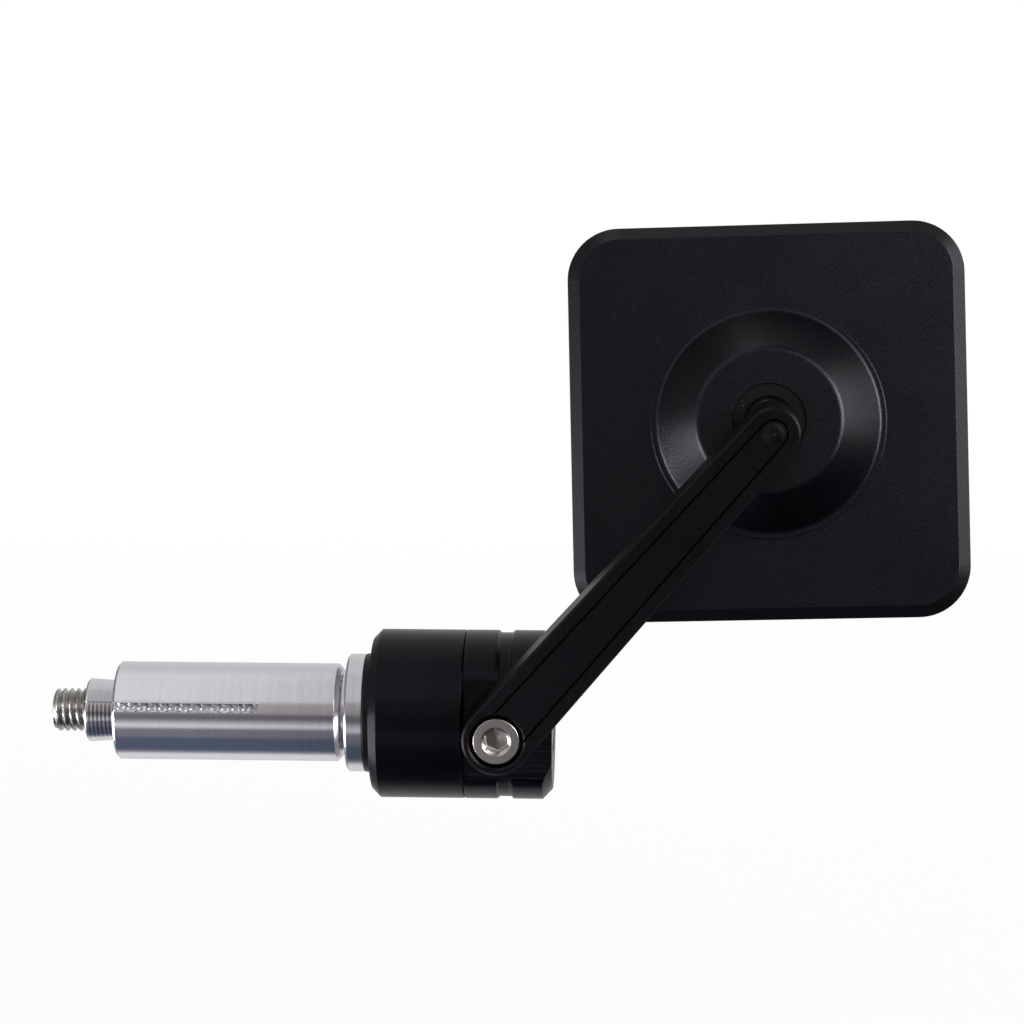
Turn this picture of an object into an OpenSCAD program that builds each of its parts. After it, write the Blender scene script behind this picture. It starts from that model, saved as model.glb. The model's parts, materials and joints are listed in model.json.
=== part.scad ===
// Bar end mirror: an expanding bar plug, a round weight, a swinging arm and a square mirror on a ball.
// +X runs outward along the bar, +Z is up, and the back of the mirror faces -Y.
// The origin is on the bar axis, at the outer end of the plug's full diameter.

/* [Outer sleeve] */
// Diameter of the sleeve that fills the handlebar
plug_d = 17.8; // [17:0.1:20]
// Length of the sleeve's full diameter
plug_l = 39.7; // [34:0.1:46]
// Edge chamfer at the outer end
plug_cham_out = 0.75; // [0.4:0.05:1]
// Edge chamfer at the inner end
plug_cham_in = 0.45; // [0.3:0.05:0.8]
// Width of the sleeve's slots
slot_w = 1.55; // [1:0.05:2]
// Length of the sleeve's slots
slot_l = 26.5; // [20:0.5:30]
// Angle of the first slot above the horizontal
slot_angle = 12; // [0:1:40]
// Number of slots
slot_n = 2; // [1:1:2]
// Turn of the sleeve's start line, which keeps it clear of the slots
start_turn = 20; // [16:1:24]

/* [Inner sleeve] */
// Diameter of the knurled inner sleeve
inner_d = 13.6; // [13.2:0.1:14]
// Bore of the inner sleeve past the wedge
inner_bore_d = 9.6; // [9.2:0.1:10]
// Width of the inner sleeve's slit
slit_w = 1.6; // [1.2:0.1:2]
// Length of the inner sleeve's slit
slit_l = 30; // [24:0.5:34]
// Angle of the slit above the horizontal
slit_angle = 102; // [60:1:140]

/* [Wedge nut] */
// Diameter of the wedge at its wide end
wedge_d = 11.6; // [11.2:0.1:12]
// Half angle of the wedge's taper
wedge_taper = 3.8; // [3:0.1:4.2]
// Length of the wedge nut
wedge_l = 14; // [12:0.5:16]
// How far the tightened wedge stands out of the sleeves
wedge_out = 5.6; // [5.2:0.1:7]
// Height of the key that runs in the slit
key_h = 0.8; // [0.5:0.1:1]
// Width of the fine groove along the wedge
seam_w = 0.3; // [0.2:0.05:0.5]
// Depth of the fine groove along the wedge
seam_depth = 0.5; // [0.3:0.1:0.8]

/* [Clamp bolt] */
// Thread diameter of the clamp bolt
bolt_d = 7.85; // [7.7:0.05:8]
// How far the bolt stands out of the wedge nut
bolt_out = 6.3; // [5.6:0.1:8]
// Diameter of the bolt's head
bolt_head_d = 13; // [12.5:0.1:13.4]
// Height of the bolt's head
bolt_head_h = 5; // [4.6:0.1:5.2]
// Key size of the bolt's socket
bolt_key = 6; // [5:0.5:7]
// Depth of the bolt's socket
bolt_key_depth = 3; // [2:0.25:3.5]
// Thickness of the washer under the bolt's head
bolt_washer_t = 0.8; // [0.6:0.1:1]

/* [Collar and seal] */
// Diameter of the collar that stops on the bar's end
collar_d = 21.4; // [20.5:0.1:22.5]
// Thickness of the collar
collar_t = 3.15; // [2.6:0.05:4]
// Edge chamfer of the collar
collar_cham = 0.4; // [0.2:0.05:0.6]
// Diameter of the hub between the sleeve and the collar
hub_d = 15.6; // [15:0.1:16.4]
// Length of the hub
hub_l = 0.7; // [0.5:0.05:1.2]
// Depth of the relief turned round the hub's root
relief_depth = 0.15; // [0.1:0.05:0.25]
// Gap between the outer sleeve and the hub
hub_gap = 0.45; // [0.3:0.05:0.8]
// Diameter of the collar's spigot in the barrel
collar_spigot_d = 14; // [12:0.5:16]
// Length of the collar's spigot past the seal
collar_spigot_l = 4; // [3:0.5:6]
// Diameter of the rubber seal
seal_d = 21.6; // [20.5:0.1:22.5]
// Thickness of the rubber seal
seal_t = 1.5; // [1:0.05:1.8]
// Edge radius of the rubber seal
seal_edge = 0.4; // [0.2:0.05:0.5]

/* [Barrel] */
// Diameter of the barrel and the end cap
barrel_d = 30.6; // [30:0.1:31.6]
// Length of the barrel
barrel_l = 16.7; // [15:0.1:22]
// Length of the barrel's edge bevel along the axis
barrel_bevel_l = 1.5; // [1:0.05:2]
// Depth of the barrel's edge bevel across the axis
barrel_bevel_h = 1.55; // [1:0.05:2]
// Edge break on both sides of the parting line
parting_cham = 0.15; // [0.1:0.05:0.3]
// Gap at the parting line
parting_gap = 0.1; // [0.05:0.05:0.3]

/* [End cap] */
// Length of the end cap
cap_l = 15.9; // [15.6:0.1:17]
// Length of the end cap's outer bevel along the axis
cap_bevel_l = 1.8; // [1.2:0.1:2.2]
// Depth of the end cap's outer bevel across the axis
cap_bevel_h = 1.9; // [1.4:0.1:2.6]
// Diameter of the end cap's spigot in the barrel
cap_spigot_d = 18; // [17:0.5:20]
// Length of the end cap's spigot
cap_spigot_l = 4; // [3:0.5:5]
// Distance from the parting line to the turned groove
groove_at = 6.1; // [5.5:0.1:6.5]
// Width of the turned groove
groove_w = 2.5; // [2:0.1:3]
// Depth of the turned groove
groove_depth = 0.43; // [0.3:0.01:0.6]
// Distance from the bar axis to the milled seat of the arm
seat_w = 12.2; // [12:0.05:12.6]
// Half height of the flat part of the seat
seat_half = 7.4; // [6.8:0.1:7.6]
// How far the seat's blend stops short of the round
seat_runout = 0.5; // [0.3:0.1:0.8]

/* [Arm] */
// Distance from the pivot to the ball
arm_l = 72.4; // [66:0.2:82]
// Angle of the arm above the bar axis
arm_angle = 48.97; // [44:0.01:56]
// Thickness of the arm
arm_t = 7.5; // [7:0.1:8]
// Radius of the arm's pivot end
arm_r_pivot = 6.1; // [5.9:0.05:6.3]
// Radius of the arm's mirror end
arm_r_tip = 4.65; // [4.5:0.05:5.2]
// Chamfer along the arm's front edge
arm_cham = 0.4; // [0.2:0.05:0.6]
// Chamfer along the arm's rear edge
arm_cham_rear = 0.3; // [0.2:0.05:0.5]
// Half width of the outlined panel at the pivot end
panel_half_pivot = 3.57; // [3.2:0.05:3.8]
// Half width of the outlined panel at the mirror end
panel_half_tip = 2.4; // [2.2:0.05:2.6]
// Width of the engraved outline
line_w = 0.38; // [0.25:0.01:0.5]
// Depth of the engraved outline
line_depth = 0.4; // [0.2:0.05:0.6]
// Radius of the domed spot at the mirror end
dome_r = 1.88; // [1.6:0.02:2]
// Height of the domed spot
dome_h = 0.3; // [0.15:0.05:0.4]

/* [Pivot] */
// Distance from the parting line to the pivot axis
pivot_at = 6.4; // [6.3:0.05:6.6]
// Diameter of the pivot screw's head
pivot_head_d = 8.2; // [8:0.1:8.5]
// Height of the pivot screw's head
pivot_head_h = 3.9; // [3.6:0.1:4]
// Gap behind the pivot screw's tip
tip_gap = 0.4; // [0.2:0.1:0.6]
// How far the pivot screw's head is sunk below the arm's face
pivot_sink = 0.2; // [0.1:0.05:0.4]
// Thread diameter of the pivot screw
pivot_d = 4.9; // [4.8:0.05:5]
// Length of the pivot screw's thread in the end cap
pivot_grip = 6; // [5.5:0.1:6.2]
// Key size of the pivot screw's socket
pivot_key = 4; // [3.5:0.5:4.5]
// Depth of the pivot screw's socket
pivot_key_depth = 2.4; // [2:0.1:2.6]
// Radius of the counterbore in the arm
counterbore_r = 4.75; // [4.6:0.05:4.85]
// Chamfer of the counterbore's mouth
counterbore_cham = 0.3; // [0.2:0.05:0.4]
// Thickness of the spring washer under the screw's head
spring_washer_t = 0.5; // [0.4:0.05:0.7]
// Thickness of the friction washer behind the arm
friction_t = 0.95; // [0.5:0.05:1]
// Radius of the friction washer
friction_r = 5.6; // [5:0.1:5.8]
// Outer radius of the pivot bush
bush_r = 3.4; // [3.1:0.05:3.7]

/* [Ball joint] */
// Radius of the ball
ball_r = 5; // [4.8:0.05:5.2]
// Distance from the arm's rear face to the ball's centre
ball_reach = 9.7; // [9.2:0.1:11]
// Radius of the stud's neck
neck_r = 2.8; // [2.5:0.05:3]
// Radius of the stud's collar
stud_collar_r = 4.5; // [4.2:0.05:4.6]
// Thickness of the stud's collar
stud_collar_t = 2.8; // [2.2:0.1:3]
// Radius of the stud's shank in the arm
shank_r = 2.45; // [2.3:0.05:2.6]
// Length of the stud's shank in the arm
shank_l = 5; // [4:0.1:5.4]
// Distance from the ball's centre to the liner's outer face
liner_front = 2.6; // [2.4:0.05:2.8]
// Radius of the liner's nose in the boss
liner_nose_r = 6.45; // [6.3:0.05:6.6]
// Radius of the liner's body
liner_r = 8.5; // [8.3:0.05:8.8]
// Distance from the ball's centre to the liner's shoulder
liner_shoulder = 0.85; // [0.7:0.05:1]
// Distance from the ball's centre to the liner's rear face
liner_rear = 6.2; // [5.9:0.05:6.4]
// Distance from the ball's centre to the joint between the liner's halves
liner_split = 0.2; // [0.1:0.05:0.4]

/* [Mirror head] */
// Width of the square head
head_w = 71.1; // [68:0.1:76]
// Corner radius of the head
head_corner_r = 9.3; // [8:0.1:11]
// Width of the bevel round the head's back
head_bevel = 2.2; // [1.6:0.1:2.8]
// Thickness of the head's plate
plate_t = 7.4; // [7.2:0.1:9]
// Chamfer of the rim beside the glass
rim_cham = 0.5; // [0.3:0.05:0.7]
// Width of the rim round the glass
rim_w = 2.6; // [2.2:0.1:3.2]
// Depth of the recess for the glass
recess_depth = 4.5; // [4.3:0.1:4.7]
// Tilt of the mirror back about the horizontal
head_tilt = 9.64; // [0:0.01:12]
// Turn of the mirror about the vertical
head_pan = -1.64; // [-4:0.01:4]
// Roll of the mirror in its own plane
head_roll = 1.9; // [-5:0.01:5]

/* [Boss] */
// Height of the round boss over the plate
boss_h = 9; // [8.6:0.1:9.6]
// Distance from the ball's centre to the boss's top
boss_top = 2.9; // [2.8:0.05:3.2]
// Radius of the boss's flat top
boss_top_r = 12.9; // [12.4:0.1:13.6]
// Radius of the boss's cone at its foot
boss_foot_r = 19.9; // [18.8:0.1:20.4]
// Edge radius of the boss's top
boss_round = 1.5; // [0.8:0.1:2]
// Radius of the ring round the boss's foot
foot_ring_r = 21.05; // [20.8:0.05:22]
// Height of the ring round the boss's foot
foot_ring_h = 0.25; // [0.15:0.05:0.4]
// Fillet radius at the boss's foot
foot_fillet = 1; // [0.6:0.1:1.2]

/* [Clamp plate] */
// Radius of the plate that holds the ball liner
clamp_r = 14.4; // [14:0.1:15]
// Thickness of the clamp plate
clamp_t = 1.7; // [1.6:0.05:1.75]
// Radius of the circle through the clamp screws
clamp_screw_circle = 11.3; // [11:0.1:11.5]
// Number of clamp screws
clamp_screw_n = 3; // [3:1:4]
// Diameter of the clamp screws
clamp_screw_d = 2.4; // [2:0.1:2.6]
// Head diameter of the clamp screws
clamp_screw_head_d = 4.6; // [4:0.1:5]
// Length of the clamp screws
clamp_screw_l = 6; // [5:0.25:6.5]
// Key size of the clamp screws' sockets
clamp_screw_key = 1.5; // [1.3:0.1:2]
// Bore of the clamp plate
clamp_bore_r = 3; // [2:0.1:3.5]
// Thickness of the disc spring
disc_spring_t = 0.45; // [0.3:0.05:0.5]

/* [Glass] */
// Thickness of the adhesive pad
pad_t = 1; // [0.8:0.05:1.2]
// Distance from the pad's edge to the glass's edge
pad_inset = 1.6; // [1:0.1:3]
// Thickness of the mirror glass at its edge
glass_t = 2.6; // [2.2:0.1:2.8]
// Radius of the glass's convex face
glass_curve_r = 1400; // [1200:50:2400]
// Gap between the glass and the rim
glass_gap = 0.25; // [0.2:0.05:0.4]

/* [Fits] */
// Radial clearance where one piece turns or slides in another
run_fit = 0.05; // [0.03:0.01:0.08]
// Clearance between the ball and its liner
ball_fit = 0.08; // [0.05:0.01:0.1]
// Clearance between faces that turn on each other
face_fit = 0.05; // [0.03:0.01:0.1]
// Radial clearance of the bolt in its holes
bolt_fit = 0.35; // [0.25:0.05:0.5]
// Gap between the wedge and the inner sleeve
wedge_fit = 0.1; // [0.08:0.01:0.2]

/* [Hidden] */
fine = 96;
arc_steps = 8;
eps = 0.01;

plug_r = plug_d / 2;
plug_end = -plug_l - plug_cham_in;
inner_r = inner_d / 2;
inner_bore_r = inner_bore_d / 2;
bolt_r = bolt_d / 2;
bolt_hole_r = bolt_r + bolt_fit;

hub_x = plug_cham_out + hub_gap;
collar_x = hub_x + hub_l;
collar_r = collar_d / 2;
seal_x = collar_x + collar_t;
seal_r = seal_d / 2;
barrel_x = seal_x + seal_t;
barrel_r = barrel_d / 2;
parting_x = barrel_x + barrel_l;
cap_x = parting_x + parting_gap;
cap_end = cap_x + cap_l;
pivot_x = cap_x + pivot_at;
cap_seat_x = cap_end - bolt_head_h - bolt_washer_t - 2 * face_fit;
bolt_seat_x = cap_seat_x + bolt_washer_t + face_fit;
bolt_recess_r = bolt_head_d / 2 + bolt_fit;
seat_blend = (barrel_r * barrel_r - seat_w * seat_w - seat_half * seat_half) / (2 * (barrel_r - seat_w));
seat_edge = barrel_r * seat_half / (barrel_r - seat_blend) - seat_runout;

wedge_x = plug_end - wedge_out;
wedge_r = wedge_d / 2;
bolt_end = wedge_x - bolt_out;
function wedge_r_at(x) = wedge_r - (x - wedge_x) * tan(wedge_taper);

arm_back = seat_w + friction_t + face_fit;
arm_front = arm_back + arm_t;
pivot_seat = arm_front - pivot_sink - pivot_head_h;
washer_seat = pivot_seat - spring_washer_t;
pivot_r = pivot_d / 2;
pivot_tip = seat_w - pivot_grip;

ball_w = arm_back - ball_reach;
ball_x = pivot_x + arm_l * cos(arm_angle);
ball_z = arm_l * sin(arm_angle);

plate_back = boss_top - boss_h;
plate_front = plate_back - plate_t;
recess_floor = plate_front + recess_depth;
clamp_back = recess_floor + face_fit;
clamp_front = clamp_back + clamp_t;
cup_r = ball_r + ball_fit;
glass_back = recess_floor - pad_t;
glass_half = head_w / 2 - rim_w - glass_gap;
glass_corner_r = head_corner_r - rim_w - glass_gap;

// A body turned about the bar axis from a list of [radius, x] points
module turned(points) rotate([0, 90, 0]) rotate_extrude($fn = fine) polygon([for (p = points) [p[0], p[1]]]);

// A round hole or rod along the bar axis
module along_bar(r, x0, x1) translate([x0, 0, 0]) rotate([0, 90, 0]) cylinder(r = r, h = x1 - x0, $fn = fine);

// A straight slot from the bar axis outward, at an angle above the horizontal
module radial_slot(x0, x1, width, reach, angle)
    rotate([-angle, 0, 0]) translate([x0, -reach, -width / 2]) cube([x1 - x0, reach, width]);

// Axes at the pivot: X along the arm, Z out of the arm's face
module on_pivot() translate([pivot_x, 0, 0]) rotate([0, -arm_angle, 0]) rotate([90, 0, 0]) children();

// Axes of the mirror head at the ball's centre: X across, Y up, Z out of the head's back
module on_head()
    translate([ball_x, -ball_w, ball_z])
    rotate([0, 0, head_pan]) rotate([-head_tilt, 0, 0]) rotate([0, -head_roll, 0]) rotate([90, 0, 0])
    children();

// A ring with square edges from z0 to z1
module ring(r_out, r_in, z0, z1) difference() {
    translate([0, 0, z0]) cylinder(r = r_out, h = z1 - z0, $fn = fine);
    translate([0, 0, z0 - 1]) cylinder(r = r_in, h = z1 - z0 + 2, $fn = fine);
}

// A hexagonal socket whose floor is at z0 and whose mouth is at z1
module hex_socket(key, z0, z1) translate([0, 0, z0]) cylinder(d = key / cos(30), h = z1 - z0 + eps, $fn = 6);

// Points of an arc round a centre
function arc(cx, cy, r, a0, a1) =
    [for (i = [0 : arc_steps]) let (a = a0 + (a1 - a0) * i / arc_steps) [cx + r * cos(a), cy + r * sin(a)]];

// A square slab with round corners whose edge moves in by inset from z0 to z1
module slab(half, corner_r, z0, z1, inset = 0) {
    core = half - corner_r;
    for (sx = [-1, 1], sy = [-1, 1])
        translate([sx * core, sy * core, z0])
        cylinder(r1 = corner_r, r2 = corner_r - inset, h = z1 - z0, $fn = fine);
    edge = [[-half, z0], [half, z0], [half - inset, z1], [inset - half, z1]];
    translate([0, core, 0]) rotate([90, 0, 0]) linear_extrude(2 * core) polygon(edge);
    translate([-core, 0, 0]) rotate([90, 0, 90]) linear_extrude(2 * core) polygon(edge);
}

// Slotted sleeve that grips the inside of the handlebar
module outer_sleeve() color([0.78, 0.79, 0.82]) difference() {
    rotate([start_turn, 0, 0])
    turned([[inner_r + run_fit, plug_end], [plug_r - plug_cham_in, plug_end], [plug_r, -plug_l], [plug_r, 0],
            [plug_r - plug_cham_out, plug_cham_out], [inner_r + run_fit, plug_cham_out]]);
    for (i = [0 : slot_n - 1])
        radial_slot(plug_end - 1, plug_end + slot_l, slot_w, plug_d, slot_angle + i * 360 / slot_n);
}

// Knurled sleeve that the wedge spreads
module inner_sleeve() color([0.72, 0.72, 0.73]) difference() {
    cone_end = wedge_x + wedge_l;
    turned([[wedge_r_at(plug_end) + wedge_fit, plug_end + eps], [inner_r, plug_end + eps], [inner_r, hub_x],
            [inner_bore_r, hub_x], [inner_bore_r, cone_end + 1],
            [wedge_r_at(cone_end) + wedge_fit, cone_end]]);
    radial_slot(plug_end - 1, plug_end + slit_l, slit_w, inner_d, slit_angle);
}

// Tapered nut with a key that runs in the inner sleeve's slit
module wedge_nut() color([0.74, 0.75, 0.78]) difference() {
    end = wedge_x + wedge_l;
    edge = 0.3;
    union() {
        turned([[bolt_r + run_fit, wedge_x], [wedge_r - edge, wedge_x], [wedge_r, wedge_x + edge],
                [wedge_r_at(end), end], [bolt_r + run_fit, end]]);
        key_top = wedge_r_at(end) + key_h;
        difference() {
            radial_slot(wedge_x + wedge_out, end, slit_w - 4 * wedge_fit, key_top, slit_angle);
            along_bar(bolt_r + run_fit, wedge_x, end + 1);
        }
    }
    rotate([-slot_angle - 5, 0, 0])
        translate([wedge_x - 1, -wedge_r - 1, -seam_w / 2]) cube([wedge_l + 2, 1 + seam_depth, seam_w]);
}

// Collar that stops on the bar's end, with its hub and its spigot
module collar() color([0.8, 0.81, 0.84]) {
    spigot_r = collar_spigot_d / 2;
    spigot_end = barrel_x + collar_spigot_l;
    relief_x = collar_x + relief_depth;
    relief_r = plug_r + relief_depth;
    turned([[bolt_hole_r, hub_x], [hub_d / 2, hub_x], [hub_d / 2, relief_x], [relief_r, relief_x],
            [relief_r, collar_x], [collar_r - collar_cham, collar_x],
            [collar_r, collar_x + collar_cham], [collar_r, seal_x],
            [spigot_r, seal_x], [spigot_r, spigot_end], [bolt_hole_r, spigot_end]]);
}

// Rubber ring between the collar and the barrel
module seal_ring() color([0.03, 0.03, 0.03])
    turned(concat([[collar_spigot_d / 2 + run_fit, seal_x]],
                  [for (p = arc(seal_r - seal_edge, seal_x + seal_edge, seal_edge, -90, 0)) p],
                  [for (p = arc(seal_r - seal_edge, barrel_x - seal_edge, seal_edge, 0, 90)) p],
                  [[collar_spigot_d / 2 + run_fit, barrel_x]]));

// Round weight beside the bar
module barrel() color([0.06, 0.06, 0.065]) {
    collar_hole_r = collar_spigot_d / 2 + run_fit;
    cap_hole_r = cap_spigot_d / 2 + run_fit;
    collar_floor = barrel_x + collar_spigot_l + face_fit;
    cap_floor = parting_x + parting_gap - cap_spigot_l - face_fit;
    turned([[collar_hole_r, barrel_x], [barrel_r - barrel_bevel_h, barrel_x],
            [barrel_r, barrel_x + barrel_bevel_l], [barrel_r, parting_x - parting_cham],
            [barrel_r - parting_cham, parting_x], [cap_hole_r, parting_x], [cap_hole_r, cap_floor],
            [bolt_hole_r, cap_floor], [bolt_hole_r, collar_floor], [collar_hole_r, collar_floor]]);
}

// Long socket screw through the whole plug
module clamp_bolt() color([0.6, 0.58, 0.55]) {
    tip = 1;
    head_r = bolt_head_d / 2;
    head_end = bolt_seat_x + bolt_head_h;
    edge = 0.5;
    difference() {
        turned([[0, bolt_end], [bolt_r - tip, bolt_end], [bolt_r, bolt_end + tip], [bolt_r, bolt_seat_x],
                [head_r, bolt_seat_x], [head_r, head_end - edge], [head_r - edge, head_end], [0, head_end]]);
        rotate([0, 90, 0]) hex_socket(bolt_key, head_end - bolt_key_depth, head_end);
    }
}

// Plain washer under the clamp bolt's head
module bolt_washer() color([0.6, 0.6, 0.6])
    turned([[bolt_hole_r, cap_seat_x], [bolt_head_d / 2, cap_seat_x],
            [bolt_head_d / 2, cap_seat_x + bolt_washer_t], [bolt_hole_r, cap_seat_x + bolt_washer_t]]);

// Section that the mill takes off the end cap: a flat seat, blended on both sides into the round
module seat_section() difference() {
    centre_w = seat_w - seat_blend;
    translate([-seat_edge, centre_w]) square([2 * seat_edge, barrel_r]);
    translate([-seat_half, 0]) square([2 * seat_half, seat_w]);
    for (s = [-1, 1]) translate([s * seat_half, centre_w]) circle(r = seat_blend, $fn = fine);
}

// End cap that swivels on the barrel and carries the arm
module end_cap() color([0.06, 0.06, 0.065]) {
    spigot_r = cap_spigot_d / 2;
    groove_x = cap_x + groove_at;
    groove_end = groove_x + groove_w;
    groove_r = barrel_r - groove_depth;
    wall = groove_depth / 2;
    difference() {
        turned([[bolt_hole_r, cap_x - cap_spigot_l], [spigot_r, cap_x - cap_spigot_l], [spigot_r, cap_x],
                [barrel_r - parting_cham, cap_x], [barrel_r, cap_x + parting_cham],
                [barrel_r, groove_x - wall], [groove_r, groove_x + wall], [groove_r, groove_end - wall],
                [barrel_r, groove_end + wall], [barrel_r, cap_end - cap_bevel_l],
                [barrel_r - cap_bevel_h, cap_end], [bolt_recess_r, cap_end], [bolt_recess_r, cap_seat_x],
                [bolt_hole_r, cap_seat_x]]);
        translate([cap_x - eps, 0, 0]) rotate([90, 0, 90]) rotate(90)
            linear_extrude(cap_l + 1) seat_section();
        on_pivot() translate([0, 0, pivot_tip - tip_gap])
            cylinder(r = pivot_r + run_fit, h = barrel_r, $fn = fine);
    }
}

// Thin plastic washer between the seat and the arm
module friction_washer() color([0.05, 0.05, 0.05])
    on_pivot() ring(friction_r, pivot_r + run_fit, seat_w, seat_w + friction_t);

// Socket screw that holds the arm
module pivot_screw() color([0.62, 0.6, 0.57]) on_pivot() {
    head_r = pivot_head_d / 2;
    edge = 0.35;
    tip = 0.6;
    mouth = 0.45;
    top = pivot_seat + pivot_head_h;
    mouth_r = pivot_key / cos(30) / 2 + 0.25;
    difference() {
        rotate_extrude($fn = fine)
            polygon([[0, pivot_tip], [pivot_r - tip, pivot_tip], [pivot_r, pivot_tip + tip],
                     [pivot_r, pivot_seat], [head_r, pivot_seat], [head_r, top - edge],
                     [head_r - edge, top], [0, top]]);
        rotate(30 - arm_angle) hex_socket(pivot_key, top - pivot_key_depth, top);
        translate([0, 0, top - mouth])
            cylinder(r1 = mouth_r - mouth, r2 = mouth_r + eps, h = mouth + eps, $fn = fine);
    }
}

// Dished washer under the pivot screw's head
module spring_washer() color([0.5, 0.5, 0.5])
    on_pivot() ring(pivot_head_d / 2, pivot_r + 3 * run_fit, washer_seat + face_fit, pivot_seat);

// Bush that the arm turns on
module pivot_bush() color([0.55, 0.45, 0.25])
    on_pivot() ring(bush_r, pivot_r + run_fit, arm_back, washer_seat - face_fit);

// Outline of the arm's panel, wider or narrower by grow
module panel_outline(grow) hull() {
    circle(r = panel_half_pivot + grow, $fn = 48);
    translate([arm_l, 0]) circle(r = panel_half_tip + grow, $fn = 48);
}

// Tapered arm between the pivot and the ball
module arm() color([0.05, 0.05, 0.055]) on_pivot() {
    dome_ball_r = (dome_r * dome_r + dome_h * dome_h) / (2 * dome_h);
    difference() {
        union() {
            translate([0, 0, arm_back]) hull() {
                cylinder(r = arm_r_pivot - arm_cham, h = arm_t, $fn = 64);
                translate([arm_l, 0, 0]) cylinder(r = arm_r_tip - arm_cham, h = arm_t, $fn = 64);
                translate([0, 0, arm_cham_rear])
                    cylinder(r = arm_r_pivot, h = arm_t - arm_cham - arm_cham_rear, $fn = 64);
                translate([arm_l, 0, arm_cham_rear])
                    cylinder(r = arm_r_tip, h = arm_t - arm_cham - arm_cham_rear, $fn = 64);
            }
            translate([arm_l, 0, 0]) intersection() {
                translate([0, 0, arm_front + dome_h - dome_ball_r]) sphere(r = dome_ball_r, $fn = fine);
                translate([0, 0, arm_front - 1]) cylinder(r = dome_r, h = 1 + dome_h, $fn = fine);
            }
        }
        translate([0, 0, arm_back - 1]) cylinder(r = bush_r + run_fit / 2, h = arm_t, $fn = fine);
        translate([0, 0, washer_seat]) cylinder(r = counterbore_r, h = arm_t, $fn = fine);
        translate([0, 0, arm_front - counterbore_cham])
            cylinder(r1 = counterbore_r, r2 = counterbore_r + counterbore_cham + eps,
                     h = counterbore_cham + eps, $fn = fine);
        translate([arm_l, 0, arm_back - 1])
            cylinder(r = shank_r + run_fit, h = 1 + shank_l + 2 * face_fit, $fn = fine);
        translate([0, 0, arm_front - line_depth]) linear_extrude(line_depth + eps) difference() {
            panel_outline(line_w / 2);
            panel_outline(-line_w / 2);
        }
    }
}

// Ball stud whose shank turns in the arm
module ball_stud() color([0.07, 0.07, 0.07]) on_pivot() translate([arm_l, 0, 0]) {
    collar_top = arm_back - face_fit;
    edge = 0.3;
    union() {
        translate([0, 0, ball_w]) sphere(r = ball_r, $fn = fine);
        rotate_extrude($fn = fine)
            polygon([[0, ball_w], [neck_r, ball_w], [neck_r, collar_top - stud_collar_t],
                     [stud_collar_r - edge, collar_top - stud_collar_t],
                     [stud_collar_r, collar_top - stud_collar_t + edge], [stud_collar_r, collar_top],
                     [shank_r, collar_top], [shank_r, arm_back + shank_l], [0, arm_back + shank_l]]);
    }
}

// Outer half of the ball's plastic liner, whose nose shows in the boss
module ball_liner_front() color([0.2, 0.21, 0.19]) on_head() difference() {
    rotate_extrude($fn = fine)
        polygon([[0, -liner_split], [liner_r, -liner_split], [liner_r, liner_shoulder],
                 [liner_nose_r, liner_shoulder], [liner_nose_r, liner_front], [0, liner_front]]);
    sphere(r = cup_r, $fn = fine);
}

// Inner half of the ball's plastic liner
module ball_liner_rear() color([0.2, 0.21, 0.19]) on_head() difference() {
    translate([0, 0, -liner_rear]) cylinder(r = liner_r, h = liner_rear - liner_split - face_fit, $fn = fine);
    sphere(r = cup_r, $fn = fine);
}

// Disc spring that presses the liner on the ball
module disc_spring() color([0.45, 0.45, 0.45]) on_head() {
    top = -liner_rear - face_fit;
    base = clamp_front + face_fit;
    outer = liner_r - 0.5;
    inner = clamp_bore_r + 0.5;
    rotate_extrude($fn = fine)
        polygon([[inner, top - disc_spring_t], [inner, top], [outer, base + disc_spring_t], [outer, base]]);
}

// Plate that closes the ball's socket from the glass side
module clamp_plate() color([0.55, 0.56, 0.58]) on_head() difference() {
    ring(clamp_r, clamp_bore_r, clamp_back, clamp_front);
    at_clamp_screws() clamp_screw_shape(run_fit, 1);
}

// The places of the clamp screws round the ball
module at_clamp_screws()
    for (i = [0 : clamp_screw_n - 1])
        rotate(90 + i * 360 / clamp_screw_n) translate([clamp_screw_circle, 0, 0]) children();

// One countersunk clamp screw, or its hole where grow is more than nothing
module clamp_screw_shape(grow, extra) {
    head_r = clamp_screw_head_d / 2;
    shank = clamp_screw_d / 2;
    cone = head_r - shank;
    translate([0, 0, clamp_back + cone]) cylinder(r = shank + grow, h = clamp_screw_l - cone, $fn = 48);
    translate([0, 0, clamp_back]) cylinder(r1 = head_r + grow, r2 = shank + grow, h = cone + grow, $fn = 48);
    if (extra > 0)
        translate([0, 0, clamp_back - extra]) cylinder(r = head_r + grow, h = extra + eps, $fn = 48);
}

// The clamp plate's screws
module clamp_screws() color([0.5, 0.5, 0.5]) on_head() at_clamp_screws() difference() {
    clamp_screw_shape(0, 0);
    hex_socket(clamp_screw_key, clamp_back - eps, clamp_back + clamp_screw_key / 2);
}

// Round boss over the ball's socket, with its foot ring and fillet
module boss() {
    slope = atan2(boss_h - foot_ring_h, boss_foot_r - boss_top_r);
    ring_top = plate_back + foot_ring_h;
    fillet_back = foot_fillet * tan(slope / 2);
    round_back = boss_round * tan(slope / 2);
    foot_arc = arc(boss_foot_r + fillet_back, ring_top + foot_fillet, foot_fillet, -90, -90 - slope);
    top_arc = arc(boss_top_r - round_back, boss_top - boss_round, boss_round, 90 - slope, 90);
    rotate_extrude($fn = fine)
        polygon(concat([[0, plate_back - 1], [foot_ring_r, plate_back - 1], [foot_ring_r, ring_top - 0.1],
                        [foot_ring_r - 0.1, ring_top]], foot_arc, top_arc, [[0, boss_top]]));
}

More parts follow.
